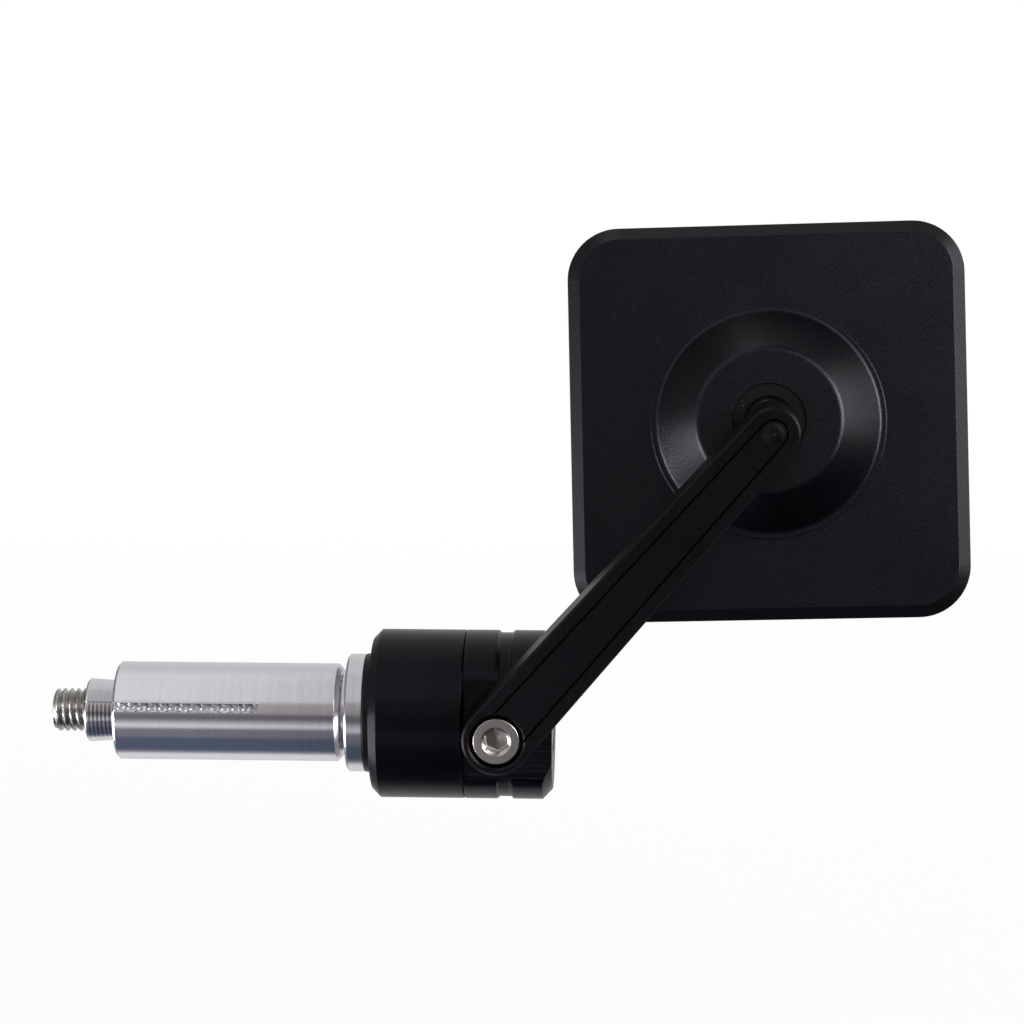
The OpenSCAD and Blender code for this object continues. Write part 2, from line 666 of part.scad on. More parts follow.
// Machined housing of the mirror, with the boss on its back and the recess for the glass
module head_shell() color([0.05, 0.05, 0.055]) on_head() difference() {
    half = head_w / 2;
    union() {
        slab(half, head_corner_r, plate_back - head_bevel, plate_back, head_bevel);
        slab(half, head_corner_r, plate_front + rim_cham, plate_back - head_bevel);
        mirror([0, 0, 1]) slab(half, head_corner_r, -plate_front - rim_cham, -plate_front, rim_cham);
        boss();
    }
    slab(half - rim_w, head_corner_r - rim_w, plate_front - 1, recess_floor);
    translate([0, 0, recess_floor - 1])
        cylinder(r = clamp_r + run_fit, h = 1 + clamp_front - recess_floor, $fn = fine);
    translate([0, 0, recess_floor - 1])
        cylinder(r = liner_r + run_fit, h = 1 + liner_shoulder + face_fit - recess_floor, $fn = fine);
    cylinder(r = liner_nose_r + run_fit, h = boss_top + 1, $fn = fine);
    at_clamp_screws() clamp_screw_shape(run_fit / 2, 1);
}

// Foam pad that bonds the glass
module adhesive_pad() color([0.12, 0.12, 0.12]) on_head()
    slab(glass_half - pad_inset, glass_corner_r - pad_inset, glass_back, recess_floor);

// Convex mirror glass
module mirror_glass() color([0.75, 0.8, 0.85]) on_head() {
    edge_front = glass_back - glass_t;
    reach = (glass_half - glass_corner_r) * sqrt(2) + glass_corner_r + 0.5;
    centre = edge_front + sqrt(glass_curve_r * glass_curve_r - reach * reach);
    face = [for (i = [0 : arc_steps]) let (r = reach * i / arc_steps)
            [r, centre - sqrt(glass_curve_r * glass_curve_r - r * r)]];
    intersection() {
        slab(glass_half, glass_corner_r, edge_front - 1, glass_back);
        rotate_extrude($fn = fine) polygon(concat(face, [[reach, glass_back + 1], [0, glass_back + 1]]));
    }
}

outer_sleeve();
inner_sleeve();
collar();
seal_ring();
barrel();
clamp_bolt();
bolt_washer();
wedge_nut();
end_cap();
friction_washer();
pivot_screw();
spring_washer();
pivot_bush();
arm();
ball_stud();
ball_liner_front();
ball_liner_rear();
disc_spring();
clamp_plate();
clamp_screws();
head_shell();
adhesive_pad();
mirror_glass();
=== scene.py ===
"""Looks of a bar end mirror: finishes, fine shapes, light and camera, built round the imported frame."""

import json
import logging
import math
from dataclasses import dataclass, field
from enum import Enum

import bmesh
import bpy
import numpy as np
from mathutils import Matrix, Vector

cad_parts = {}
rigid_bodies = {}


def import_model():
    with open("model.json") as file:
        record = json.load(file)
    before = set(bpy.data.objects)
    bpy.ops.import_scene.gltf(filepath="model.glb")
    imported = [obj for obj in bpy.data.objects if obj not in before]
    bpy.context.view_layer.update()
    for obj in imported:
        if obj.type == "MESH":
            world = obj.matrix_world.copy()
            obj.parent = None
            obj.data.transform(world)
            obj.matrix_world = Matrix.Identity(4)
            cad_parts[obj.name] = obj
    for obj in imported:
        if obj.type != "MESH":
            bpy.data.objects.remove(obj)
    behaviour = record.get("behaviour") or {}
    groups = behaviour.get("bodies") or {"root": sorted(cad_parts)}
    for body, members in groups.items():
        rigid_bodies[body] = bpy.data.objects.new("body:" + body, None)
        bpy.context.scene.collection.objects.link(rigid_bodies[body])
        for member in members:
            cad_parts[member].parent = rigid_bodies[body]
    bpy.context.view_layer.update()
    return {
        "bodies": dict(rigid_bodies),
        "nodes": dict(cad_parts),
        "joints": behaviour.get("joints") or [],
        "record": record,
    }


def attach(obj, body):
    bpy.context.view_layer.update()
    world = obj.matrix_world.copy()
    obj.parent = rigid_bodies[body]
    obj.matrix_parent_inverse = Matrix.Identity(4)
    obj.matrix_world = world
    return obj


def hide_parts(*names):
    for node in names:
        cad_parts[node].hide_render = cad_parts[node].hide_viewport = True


LOG = logging.getLogger("bar_end_mirror")
MM = 0.001
TAU = 2 * math.pi
MERGE = 1e-7  # metres within which points are merged
SLIVER = 1e-8  # metres under which an edge is dropped
POINT = 1e-4  # radius in mm of a ring that closes an end
FLOAT = "NodeSocketFloat"
VECTOR = "NodeSocketVector"

Span = tuple[float, float]
Triple = tuple[float, float, float]
Socket = bpy.types.NodeSocket
Value = float | Socket


# Placement of a sub-assembly


@dataclass(frozen=True)
class Placement:
    """Axes of a sub-assembly in the row frame, with its origin in mm."""

    origin: Triple
    x: Triple
    y: Triple
    z: Triple

    def place(self, points: np.ndarray) -> np.ndarray:
        """Turn local points in mm into row points in metres."""
        axes = np.array([self.x, self.y, self.z], float)
        return (points @ axes + np.array(self.origin, float)) * MM


def turned_about(axis: Triple, angle: float, vector: np.ndarray) -> np.ndarray:
    """Turn a vector about an axis.

    Args:
        axis: unit axis.
        angle: turn in degrees by the right-hand rule.
        vector: the vector to turn.

    Returns:
        The turned vector, by the rule of cosine, sine and cross product.
    """
    a = math.radians(angle)
    k = np.array(axis, float)
    v = np.array(vector, float)
    return v * math.cos(a) + np.cross(k, v) * math.sin(a) + k * (k @ v) * (1 - math.cos(a))


@dataclass(frozen=True)
class Layout:
    """Places that the sub-assemblies share, in mm and degrees."""

    pivot_x: float = 29.75
    arm_length: float = 72.4
    arm_angle: float = 48.97
    arm_back: float = 13.2
    ball_reach: float = 9.7
    head_pan: float = -1.64
    head_tilt: float = 9.64
    head_roll: float = 1.9

    def bar(self) -> Placement:
        """Axes of the bar: X across it, Y up and Z along it."""
        return Placement((0, 0, 0), (0, 1, 0), (0, 0, 1), (1, 0, 0))

    def pivot(self) -> Placement:
        """Axes at the pivot: X along the arm, Z out of its face."""
        a = math.radians(self.arm_angle)
        along, across = (math.cos(a), 0, math.sin(a)), (-math.sin(a), 0, math.cos(a))
        return Placement((self.pivot_x, 0, 0), along, across, (0, -1, 0))

    def head(self) -> Placement:
        """Axes at the ball: X across the head, Y up it and Z out of its back."""
        a = math.radians(self.arm_angle)
        origin = (
            self.pivot_x + self.arm_length * math.cos(a),
            self.ball_reach - self.arm_back,
            self.arm_length * math.sin(a),
        )
        axes = []
        for v in ((1, 0, 0), (0, 0, 1), (0, -1, 0)):
            w = turned_about((0, 1, 0), -self.head_roll, v)
            w = turned_about((1, 0, 0), -self.head_tilt, w)
            axes.append(tuple(turned_about((0, 0, 1), self.head_pan, w)))
        return Placement(origin, *axes)


# Meshes


def linked(name: str, data: bpy.types.ID) -> bpy.types.Object:
    """Make an object for the data and link it to the scene."""
    obj = bpy.data.objects.new(name, data)
    bpy.context.scene.collection.objects.link(obj)
    return obj


def new_piece(name: str, points: np.ndarray, faces: list, sharp: float = 32.0) -> bpy.types.Object:
    """Make a closed mesh object from row points in metres.

    Args:
        name: name of the piece.
        points: n by 3 array.
        faces: lists of point numbers.
        sharp: angle in degrees over which an edge stays sharp.

    Returns:
        The object, with its doubles merged and its faces outwards.
    """
    mesh = bpy.data.meshes.new(name)
    mesh.from_pydata(points.tolist(), [], faces)
    bm = bmesh.new()
    bm.from_mesh(mesh)
    bmesh.ops.remove_doubles(bm, verts=bm.verts, dist=MERGE)
    bmesh.ops.dissolve_degenerate(bm, edges=bm.edges, dist=SLIVER)
    bmesh.ops.recalc_face_normals(bm, faces=bm.faces)
    bm.to_mesh(mesh)
    bm.free()
    mesh.shade_smooth()
    mesh.set_sharp_from_angle(angle=math.radians(sharp))
    return linked(name, mesh)


def grid_faces(rows: int, cols: int, wrap_rows: bool, wrap_cols: bool) -> list:
    """List the four-sided faces of a grid of points.

    Args:
        rows: number of rows.
        cols: number of points in a row.
        wrap_rows: whether the last row joins the first.
        wrap_cols: whether the last point of a row joins its first.

    Returns:
        Lists of point numbers.
    """
    r = np.arange(rows if wrap_rows else rows - 1)
    c = np.arange(cols if wrap_cols else cols - 1)
    rr, cc = np.meshgrid(r, c, indexing="ij")
    r2, c2 = (rr + 1) % rows, (cc + 1) % cols
    quads = np.stack([rr * cols + cc, rr * cols + c2, r2 * cols + c2, r2 * cols + cc], axis=-1)
    return quads.reshape(-1, 4).tolist()


def ring_points(radii: np.ndarray, angle: np.ndarray, height: np.ndarray) -> np.ndarray:
    """Points of rings round the local Z axis.

    Each point is the radius times the cosine and the sine of the angle, at the ring's height.

    Args:
        radii: radius of each ring, or of each point.
        angle: angles in radians.
        height: height of each ring.

    Returns:
        n by 3 array, ring after ring.
    """
    grid = [radii * np.cos(angle), radii * np.sin(angle), height + 0 * angle]
    return np.stack(grid, axis=-1).reshape(-1, 3)


def rounded(profile: list, radius: float, steps: int = 4) -> np.ndarray:
    """Round the corners of a closed profile with small arcs.

    Each corner is replaced by a quadratic curve between two points set back from it along its sides.

    Args:
        profile: list of [radius, height, factor] points; the factor scales the rounding and may be left out.
        radius: set-back in mm.
        steps: steps in each curve.

    Returns:
        n by 2 array.
    """
    pts = np.array([p[:2] for p in profile], float)
    factor = np.array([p[2] if len(p) > 2 else 1.0 for p in profile])
    before, after = np.roll(pts, 1, 0) - pts, np.roll(pts, -1, 0) - pts
    lb, la = np.linalg.norm(before, axis=1), np.linalg.norm(after, axis=1)
    back = np.minimum(radius * factor, 0.45 * np.minimum(lb, la))[:, None]
    start, end = pts + before / lb[:, None] * back, pts + after / la[:, None] * back
    t = np.linspace(0, 1, steps + 1)[None, :, None]
    curve = (1 - t) ** 2 * start[:, None] + 2 * t * (1 - t) * pts[:, None] + t**2 * end[:, None]
    return curve.reshape(-1, 2)


# Finishes


class Texture(Enum):
    """Fine texture that a metal finish carries."""

    BLASTED = "blasted"
    TURNED = "turned"


@dataclass(frozen=True)
class Noise:
    """A noise pattern: how fine it is, how many layers it has and how much each finer layer counts."""

    scale: float
    detail: float = 2.0
    rough: float = 0.5


class Tree:
    """Short words for making nodes in a node tree."""

    def __init__(self, tree: bpy.types.NodeTree) -> None:
        """Keep the tree that the nodes go in."""
        self.tree = tree

    def node(self, kind: str, settings: dict | None = None, inputs: dict | None = None) -> bpy.types.Node:
        """Add a node.

        Args:
            kind: Blender's name of the node type.
            settings: properties of the node.
            inputs: socket names or numbers, each with a value or a socket to link from.

        Returns:
            The node.
        """
        made = self.tree.nodes.new(kind)
        for key, value in (settings or {}).items():
            setattr(made, key, value)
        for key, value in (inputs or {}).items():
            self.feed(made.inputs[key], value)
        return made

    def feed(self, socket: Socket, value: object) -> None:
        """Link a socket to another, or set its value.

        Args:
            socket: the input.
            value: an output to link from, or the value itself.
        """
        if isinstance(value, bpy.types.NodeSocket):
            self.tree.links.new(value, socket)
        else:
            socket.default_value = value

    def math(self, operation: str, a: Value, b: Value = 0.0, c: Value = 0.0) -> Socket:
        """Add a Math node and give its output."""
        made = self.node("ShaderNodeMath", {"operation": operation}, {0: a, 1: b, 2: c})
        return made.outputs[0]

    def vector(self, operation: str, inputs: dict) -> Socket:
        """Add a Vector Math node and give its output."""
        return self.node("ShaderNodeVectorMath", {"operation": operation}, inputs).outputs[0]

    def split(self, vector: Socket) -> bpy.types.NodeOutputs:
        """Take a vector apart and give its three numbers."""
        return self.node("ShaderNodeSeparateXYZ", inputs={0: vector}).outputs

    def noise(self, vector: Socket, pattern: Noise) -> Socket:
        """Add a Noise node and give its value."""
        shape = {"Scale": pattern.scale, "Detail": pattern.detail, "Roughness": pattern.rough}
        return self.node("ShaderNodeTexNoise", inputs={"Vector": vector, **shape}).outputs["Fac"]

    def span(self, value: Value, source: Span, target: tuple[Value, Value] = (0.0, 1.0)) -> Socket:
        """Map a value from one range to another.

        Args:
            value: the value.
            source: ends of the range that it comes from.
            target: what those ends become.

        Returns:
            The mapped value, held within the target range.
        """
        ends = {"From Min": source[0], "From Max": source[1], "To Min": target[0], "To Max": target[1]}
        return self.node("ShaderNodeMapRange", inputs={"Value": value, **ends}).outputs[0]

    def mix(self, factor: Value, a: object, b: object) -> Socket:
        """Mix two colours.

        Args:
            factor: share of the second colour.
            a: first colour.
            b: second colour.

        Returns:
            The mixed colour.
        """
        made = self.node("ShaderNodeMix", {"data_type": "RGBA"})
        for number, value in ((0, factor), (6, a), (7, b)):
            self.feed(made.inputs[number], value)
        return made.outputs[2]


def group(name: str, inputs: dict, outputs: dict) -> tuple:
    """Start a shader node group with named sockets.

    Args:
        name: name of the group.
        inputs: socket names with their types and start values.
        outputs: socket names with their types.

    Returns:
        The group's tree, its Tree helper, its inputs and its output node.
    """
    tree = bpy.data.node_groups.new(name, "ShaderNodeTree")
    for key, (kind, value) in inputs.items():
        made = tree.interface.new_socket(name=key, in_out="INPUT", socket_type=kind)
        if value is not None:
            made.default_value = value
    for key, kind in outputs.items():
        tree.interface.new_socket(name=key, in_out="OUTPUT", socket_type=kind)
    helper = Tree(tree)
    return tree, helper, helper.node("NodeGroupInput").outputs, helper.node("NodeGroupOutput")


def new_material(name: str) -> tuple[bpy.types.Material, Tree]:
    """Make an empty material.

    Args:
        name: name of the material.

    Returns:
        The material and the helper for its nodes.
    """
    made = bpy.data.materials.new(name)
    made.use_nodes = True
    made.node_tree.nodes.clear()
    return made, Tree(made.node_tree)


def close_material(t: Tree, shader: bpy.types.Node) -> None:
    """Link a shader to its material's output."""
    t.feed(t.node("ShaderNodeOutputMaterial").inputs[0], shader.outputs[0])


def opaque(colour: Triple, factor: float = 1.0, lift: float = 0.0) -> tuple:
    """Give a colour times a factor plus a lift, with no channel over one and full alpha."""
    return tuple(min(c * factor + lift, 1.0) for c in colour) + (1.0,)


@dataclass
class Effects:
    """Shader node groups that several finishes share, with the patterns that they use."""

    turned_fine: Noise = Noise(1000.0, 3.0, 0.65)
    turned_broad: Noise = Noise(90.0)
    turned_shares: Span = (0.6, 0.4)
    grain_fine: Noise = Noise(5200.0, 1.0, 0.6)
    grain_broad: Noise = Noise(2600.0)
    grain_tone: Noise = Noise(60.0, 3.0, 0.55)
    grit: Noise = Noise(3600.0, 1.0)
    grit_range: Span = (0.5, 0.72)
    milled_fine: Noise = Noise(3200.0, 2.0, 0.6)
    milled_deep: Noise = Noise(1300.0, 1.0, 0.4)
    milled_range: Span = (0.56, 0.66)
    milled_share: float = 0.7
    milled_stretch: Triple = (0.02, 1.0, 1.0)
    cloud: Noise = Noise(45.0, 4.0, 0.6)
    speck: Noise = Noise(1800.0, 1.0, 0.4)
    speck_range: Span = (0.74, 0.79)
    flat_front: float = -0.008
    flat_start: float = 0.0238
    floor_slack: float = 0.00003

    def __post_init__(self) -> None:
        """Build the groups once."""
        self.turning = self._turning()
        self.grain = self._grain()
        self.milling = self._milling()
        self.smudge = self._smudge()
        self.flat = self._flat()
        self.engraved = self._engraved()

    def _turning(self) -> bpy.types.NodeTree:
        """Fine lines round an axis: noise over the place along X and the distance from X.

        Returns:
            The group.
        """
        sockets = {"Vector": (VECTOR, None), "Pitch": (FLOAT, 0.15)}
        tree, t, given, out = group("turning_lines", sockets, {"Height": FLOAT, "Tone": FLOAT})
        x, y, z = t.split(given["Vector"])
        radius = t.math("SQRT", t.math("ADD", t.math("MULTIPLY", y, y), t.math("MULTIPLY", z, z)))
        along = t.math("DIVIDE", x, given["Pitch"])
        across = t.math("DIVIDE", radius, given["Pitch"])
        place = t.node("ShaderNodeCombineXYZ", inputs={0: along, 1: across}).outputs[0]
        fine = t.noise(place, self.turned_fine)
        broad = t.noise(place, self.turned_broad)
        of_broad, of_fine = self.turned_shares
        t.feed(out.inputs["Height"], fine)
        t.feed(out.inputs["Tone"], t.math("MULTIPLY_ADD", broad, of_broad, t.math("MULTIPLY", fine, of_fine)))
        return tree

    def _grain(self) -> bpy.types.NodeTree:
        """Fine blasted grain: the mean of two sizes of noise, with clouds of tone and sparse grit.

        Returns:
            The group.
        """
        sockets = {"Vector": (VECTOR, None), "Scale": (FLOAT, 1.0)}
        tree, t, given, out = group("blasted_grain", sockets, {"Height": FLOAT, "Tone": FLOAT, "Grit": FLOAT})
        place = t.vector("SCALE", {0: given["Vector"], "Scale": given["Scale"]})
        fine = t.math("MULTIPLY", t.noise(place, self.grain_fine), 0.5)
        t.feed(out.inputs["Height"], t.math("MULTIPLY_ADD", t.noise(place, self.grain_broad), 0.5, fine))
        t.feed(out.inputs["Tone"], t.noise(place, self.grain_tone))
        t.feed(out.inputs["Grit"], t.span(t.noise(place, self.grit), self.grit_range))
        return tree

    def _milling(self) -> bpy.types.NodeTree:
        """Long fine lines along X: noise stretched along X, with a few deeper lines among them.

        Returns:
            The group.
        """
        sockets = {"Vector": (VECTOR, None)}
        tree, t, given, out = group("milling_lines", sockets, {"Height": FLOAT, "Tone": FLOAT})
        place = t.vector("MULTIPLY", {0: given["Vector"], 1: self.milled_stretch})
        fine = t.noise(place, self.milled_fine)
        deep = t.span(t.noise(place, self.milled_deep), self.milled_range)
        t.feed(out.inputs["Height"], t.math("SUBTRACT", fine, t.math("MULTIPLY", deep, self.milled_share)))
        t.feed(out.inputs["Tone"], deep)
        return tree

    def _smudge(self) -> bpy.types.NodeTree:
        """Soft clouds and a few specks, for handling marks and dust.

        Returns:
            The group.
        """
        sockets = {"Vector": (VECTOR, None)}
        tree, t, given, out = group("smudges_and_dust", sockets, {"Cloud": FLOAT, "Speck": FLOAT})
        t.feed(out.inputs["Cloud"], t.noise(given["Vector"], self.cloud))
        t.feed(out.inputs["Speck"], t.span(t.noise(given["Vector"], self.speck), self.speck_range))
        return tree

    def _flat(self) -> bpy.types.NodeTree:
        """One on the milled flat of the cap: within half its height of the axis, on the near side.

        Returns:
            The group.
        """
        sockets = {"Vector": (VECTOR, None), "Half": (FLOAT, 0.01)}
        tree, t, given, out = group("milled_flat", sockets, {"Mask": FLOAT})
        x, y, z = t.split(given["Vector"])
        inside = t.math("LESS_THAN", t.math("ABSOLUTE", z), given["Half"])
        near = t.math("LESS_THAN", y, self.flat_front)
        past = t.math("GREATER_THAN", x, self.flat_start)
        t.feed(out.inputs["Mask"], t.math("MULTIPLY", t.math("MULTIPLY", inside, near), past))
        return tree

    def _engraved(self) -> bpy.types.NodeTree:
        """One on the floor of the engraved lines, which lies at one level across Y, where painted shade
        darkens the groove.

        Returns:
            The group.
        """
        sockets = {"Vector": (VECTOR, None), "Level": (FLOAT, 0.0)}
        tree, t, given, out = group("engraved_floor_shade_mask", sockets, {"Mask": FLOAT})
        off = t.math("ABSOLUTE", t.math("SUBTRACT", t.split(given["Vector"])[1], given["Level"]))
        t.feed(out.inputs["Mask"], t.math("LESS_THAN", off, self.floor_slack))
        return tree

    def place(self, t: Tree, tree: bpy.types.NodeTree, **inputs: Value) -> bpy.types.NodeOutputs:
        """Put a group in a material.

        Args:
            t: helper of the material.
            tree: the group.
            inputs: sockets or values for the group's inputs.

        Returns:
            The group's outputs.
        """
        return t.node("ShaderNodeGroup", {"node_tree": tree}, inputs).outputs


class Finish:
    """A finish that makes a material of its own name, with what metals and plastics share."""

    name: str
    roughness: float
    bump: float
    middle: Span = (0.3, 0.7)
    rough_spread: Span = (1.0, 1.0)
    bump_distance: float = 0.0001

    def shade(self, t: Tree, effects: Effects) -> bpy.types.Node:
        """Make the shader.

        Args:
            t: helper for the material's nodes.
            effects: the shared node groups.

        Returns:
            The shader's node.
        """
        raise NotImplementedError

    def build(self, effects: Effects) -> bpy.types.Material:
        """Make the material.

        Args:
            effects: the shared node groups.

        Returns:
            The material.
        """
        made, t = new_material(self.name)
        close_material(t, self.shade(t, effects))
        return made

    def relief(self, t: Tree, shader: bpy.types.Node, cloud: Socket, height: Socket, **more: Socket) -> None:
        """Feed the shader's roughness and its normal.

        Args:
            t: helper for the material's nodes.
            shader: the shader's node.
            cloud: clouds that the roughness follows.
            height: height of the fine texture.
            more: other inputs of the bump.
        """
        rough = tuple(self.roughness * share for share in self.rough_spread)
        t.feed(shader.inputs["Roughness"], t.span(cloud, self.middle, rough))
        inputs = {"Strength": self.bump, "Distance": self.bump_distance, "Height": height, **more}
        t.feed(shader.inputs["Normal"], t.node("ShaderNodeBump", inputs=inputs).outputs[0])


@dataclass(frozen=True)
class Metal(Finish):
    """A metal finish, bare or anodised, with its fine texture. The edge is a radius in mm."""

    name: str
    colour: Triple
    metallic: float
    roughness: float
    texture: Texture
    bump: float = 0.15
    pitch: float = 0.15
    vary: float = 0.06
    edge: float = 0.12
    turn: Triple = (0.0, 0.0, 0.0)
    centre: Triple = (0.0, 0.0, 0.0)
    specular: float = 0.38
    grit: float = 0.003
    milled_half: float = 0.0
    # Level in mm of the engraved lines' floor that gets painted shade; nought for none.
    shaded_groove_at: float = 0.0

    # What all metals share
    tint = (0.93, 0.88, 1.0, 1.0)
    bare_specular = 0.5
    darker, lighter = 2.2, 1.6
    texture_share, cloud_share = 0.6, 0.4
    rough_spread = (0.9, 1.12)
    dust, dust_share = 0.02, 0.35
    grain_share = 0.6
    milled_depth, milled_light = 5.0, (0.5, 0.75)
    milled_colour = (0.03, 0.028, 0.034, 1.0)
    # Share of painted shade on the engraved lines' floor.
    groove_shade_share = 0.8

    def shade(self, t: Tree, effects: Effects) -> bpy.types.Node:
        """Make the shader, as the base class says."""
        gloss = self.bare_specular if self.metallic else self.specular
        given = {"Metallic": self.metallic, "Specular IOR Level": gloss}
        shader = t.node("ShaderNodeBsdfPrincipled", inputs=given)
        if not self.metallic:
            shader.inputs["Specular Tint"].default_value = self.tint
        where = t.node("ShaderNodeTexCoord").outputs["Object"]
        if any(self.turn) or any(self.centre):
            pattern = {"Vector": where, "Location": self.centre, "Rotation": self.turn}
            where = t.node("ShaderNodeMapping", {"vector_type": "TEXTURE"}, pattern).outputs[0]
        marks = effects.place(t, effects.smudge, Vector=where)
        turned = self.texture is Texture.TURNED
        if turned:
            lines = effects.place(t, effects.turning, Vector=where, Pitch=self.pitch)
        else:
            lines = effects.place(t, effects.grain, Vector=where, Scale=1.0)
        height = lines["Height"]
        clouds = t.math("MULTIPLY", marks["Cloud"], self.cloud_share)
        tone = t.math("MULTIPLY_ADD", lines["Tone"], self.texture_share, clouds)
        low = opaque(self.colour, 1 - self.darker * self.vary)
        high = opaque(self.colour, 1 + self.lighter * self.vary)
        colour = t.mix(t.span(tone, self.middle), low, high)
        if self.milled_half:
            milled = effects.place(t, effects.milling, Vector=where)["Height"]
            zone = effects.place(t, effects.flat, Vector=where, Half=self.milled_half * MM)["Mask"]
            height = t.math("MULTIPLY_ADD", t.math("MULTIPLY", zone, milled), self.milled_depth, height)
            raised = t.span(milled, self.milled_light, (0.0, 0.5))
            colour = t.mix(t.math("MULTIPLY", zone, raised), colour, self.milled_colour)
        if self.metallic and turned:
            grain = effects.place(t, effects.grain, Vector=where, Scale=1.0)["Height"]
            height = t.math("MULTIPLY_ADD", grain, self.grain_share, height)
        if not turned:
            colour = t.mix(lines["Grit"], colour, opaque(self.colour, 1.0, self.grit))
        dusty = opaque(self.colour, 1 - self.dust, self.dust)
        colour = t.mix(t.math("MULTIPLY", marks["Speck"], self.dust_share), colour, dusty)
        # Painted shade: the floor of the engraved lines is turned black with no reflection, standing in for
        # the shade inside the narrow groove.
        if self.shaded_groove_at:
            cut = effects.place(t, effects.engraved, Vector=where, Level=self.shaded_groove_at * MM)["Mask"]
            cut = t.math("MULTIPLY", cut, self.groove_shade_share)
            colour = t.mix(cut, colour, (0.0, 0.0, 0.0, 1.0))
            t.feed(shader.inputs["Metallic"], cut)
        t.feed(shader.inputs["Base Color"], colour)
        soft = t.node("ShaderNodeBevel", {"samples": 4}, {"Radius": self.edge * MM}).outputs[0]
        self.relief(t, shader, marks["Cloud"], height, Normal=soft)
        return shader


@dataclass(frozen=True)
class Plastic(Finish):
    """A moulded plastic or rubber finish."""

    name: str
    colour: Triple
    roughness: float
    bump: float = 0.2
    specular: float = 0.5

    # What all plastics share
    grain_scale = 0.6
    darker, lighter, lift = 0.82, 1.18, 0.004
    rough_spread = (0.92, 1.08)
    dust, dust_share = (0.25, 0.25, 0.25, 1.0), 0.5

    def shade(self, t: Tree, effects: Effects) -> bpy.types.Node:
        """Make the shader, as the base class says."""
        shader = t.node("ShaderNodeBsdfPrincipled", inputs={"Specular IOR Level": self.specular})
        where = t.node("ShaderNodeTexCoord").outputs["Object"]
        grain = effects.place(t, effects.grain, Vector=where, Scale=self.grain_scale)
        marks = effects.place(t, effects.smudge, Vector=where)
        low = opaque(self.colour, self.darker)
        high = opaque(self.colour, self.lighter, self.lift)
        colour = t.mix(t.span(grain["Tone"], self.middle), low, high)
        dust = t.math("MULTIPLY", marks["Speck"], self.dust_share)
        t.feed(shader.inputs["Base Color"], t.mix(dust, colour, self.dust))
        self.relief(t, shader, marks["Cloud"], grain["Height"])
        return shader


@dataclass(frozen=True)
class Silvered(Finish):
    """Silvered mirror glass with faint clouds and a few dust specks."""

    name: str
    colour: Triple
    dull: float = 0.9
    cloudy: Span = (0.45, 0.75)
    hazy: Span = (0.5, 0.75)
    haze_share: float = 0.03
    speck_share: float = 0.25
    roughness: float = 0.012

    def shade(self, t: Tree, effects: Effects) -> bpy.types.Node:
        """Make the shader, as the base class says."""
        shader = t.node("ShaderNodeBsdfPrincipled", inputs={"Metallic": 1.0, "Coat Weight": 1.0})
        marks = effects.place(t, effects.smudge, Vector=t.node("ShaderNodeTexCoord").outputs["Object"])
        dull = opaque(self.colour, self.dull)
        colour = t.mix(t.span(marks["Cloud"], self.cloudy), opaque(self.colour), dull)
        t.feed(shader.inputs["Base Color"], colour)
        haze = t.math("MULTIPLY", t.span(marks["Cloud"], self.hazy), self.haze_share)
        speck = t.math("MULTIPLY", marks["Speck"], self.speck_share)
        t.feed(shader.inputs["Roughness"], t.math("ADD", t.math("ADD", haze, speck), self.roughness))
        return shader


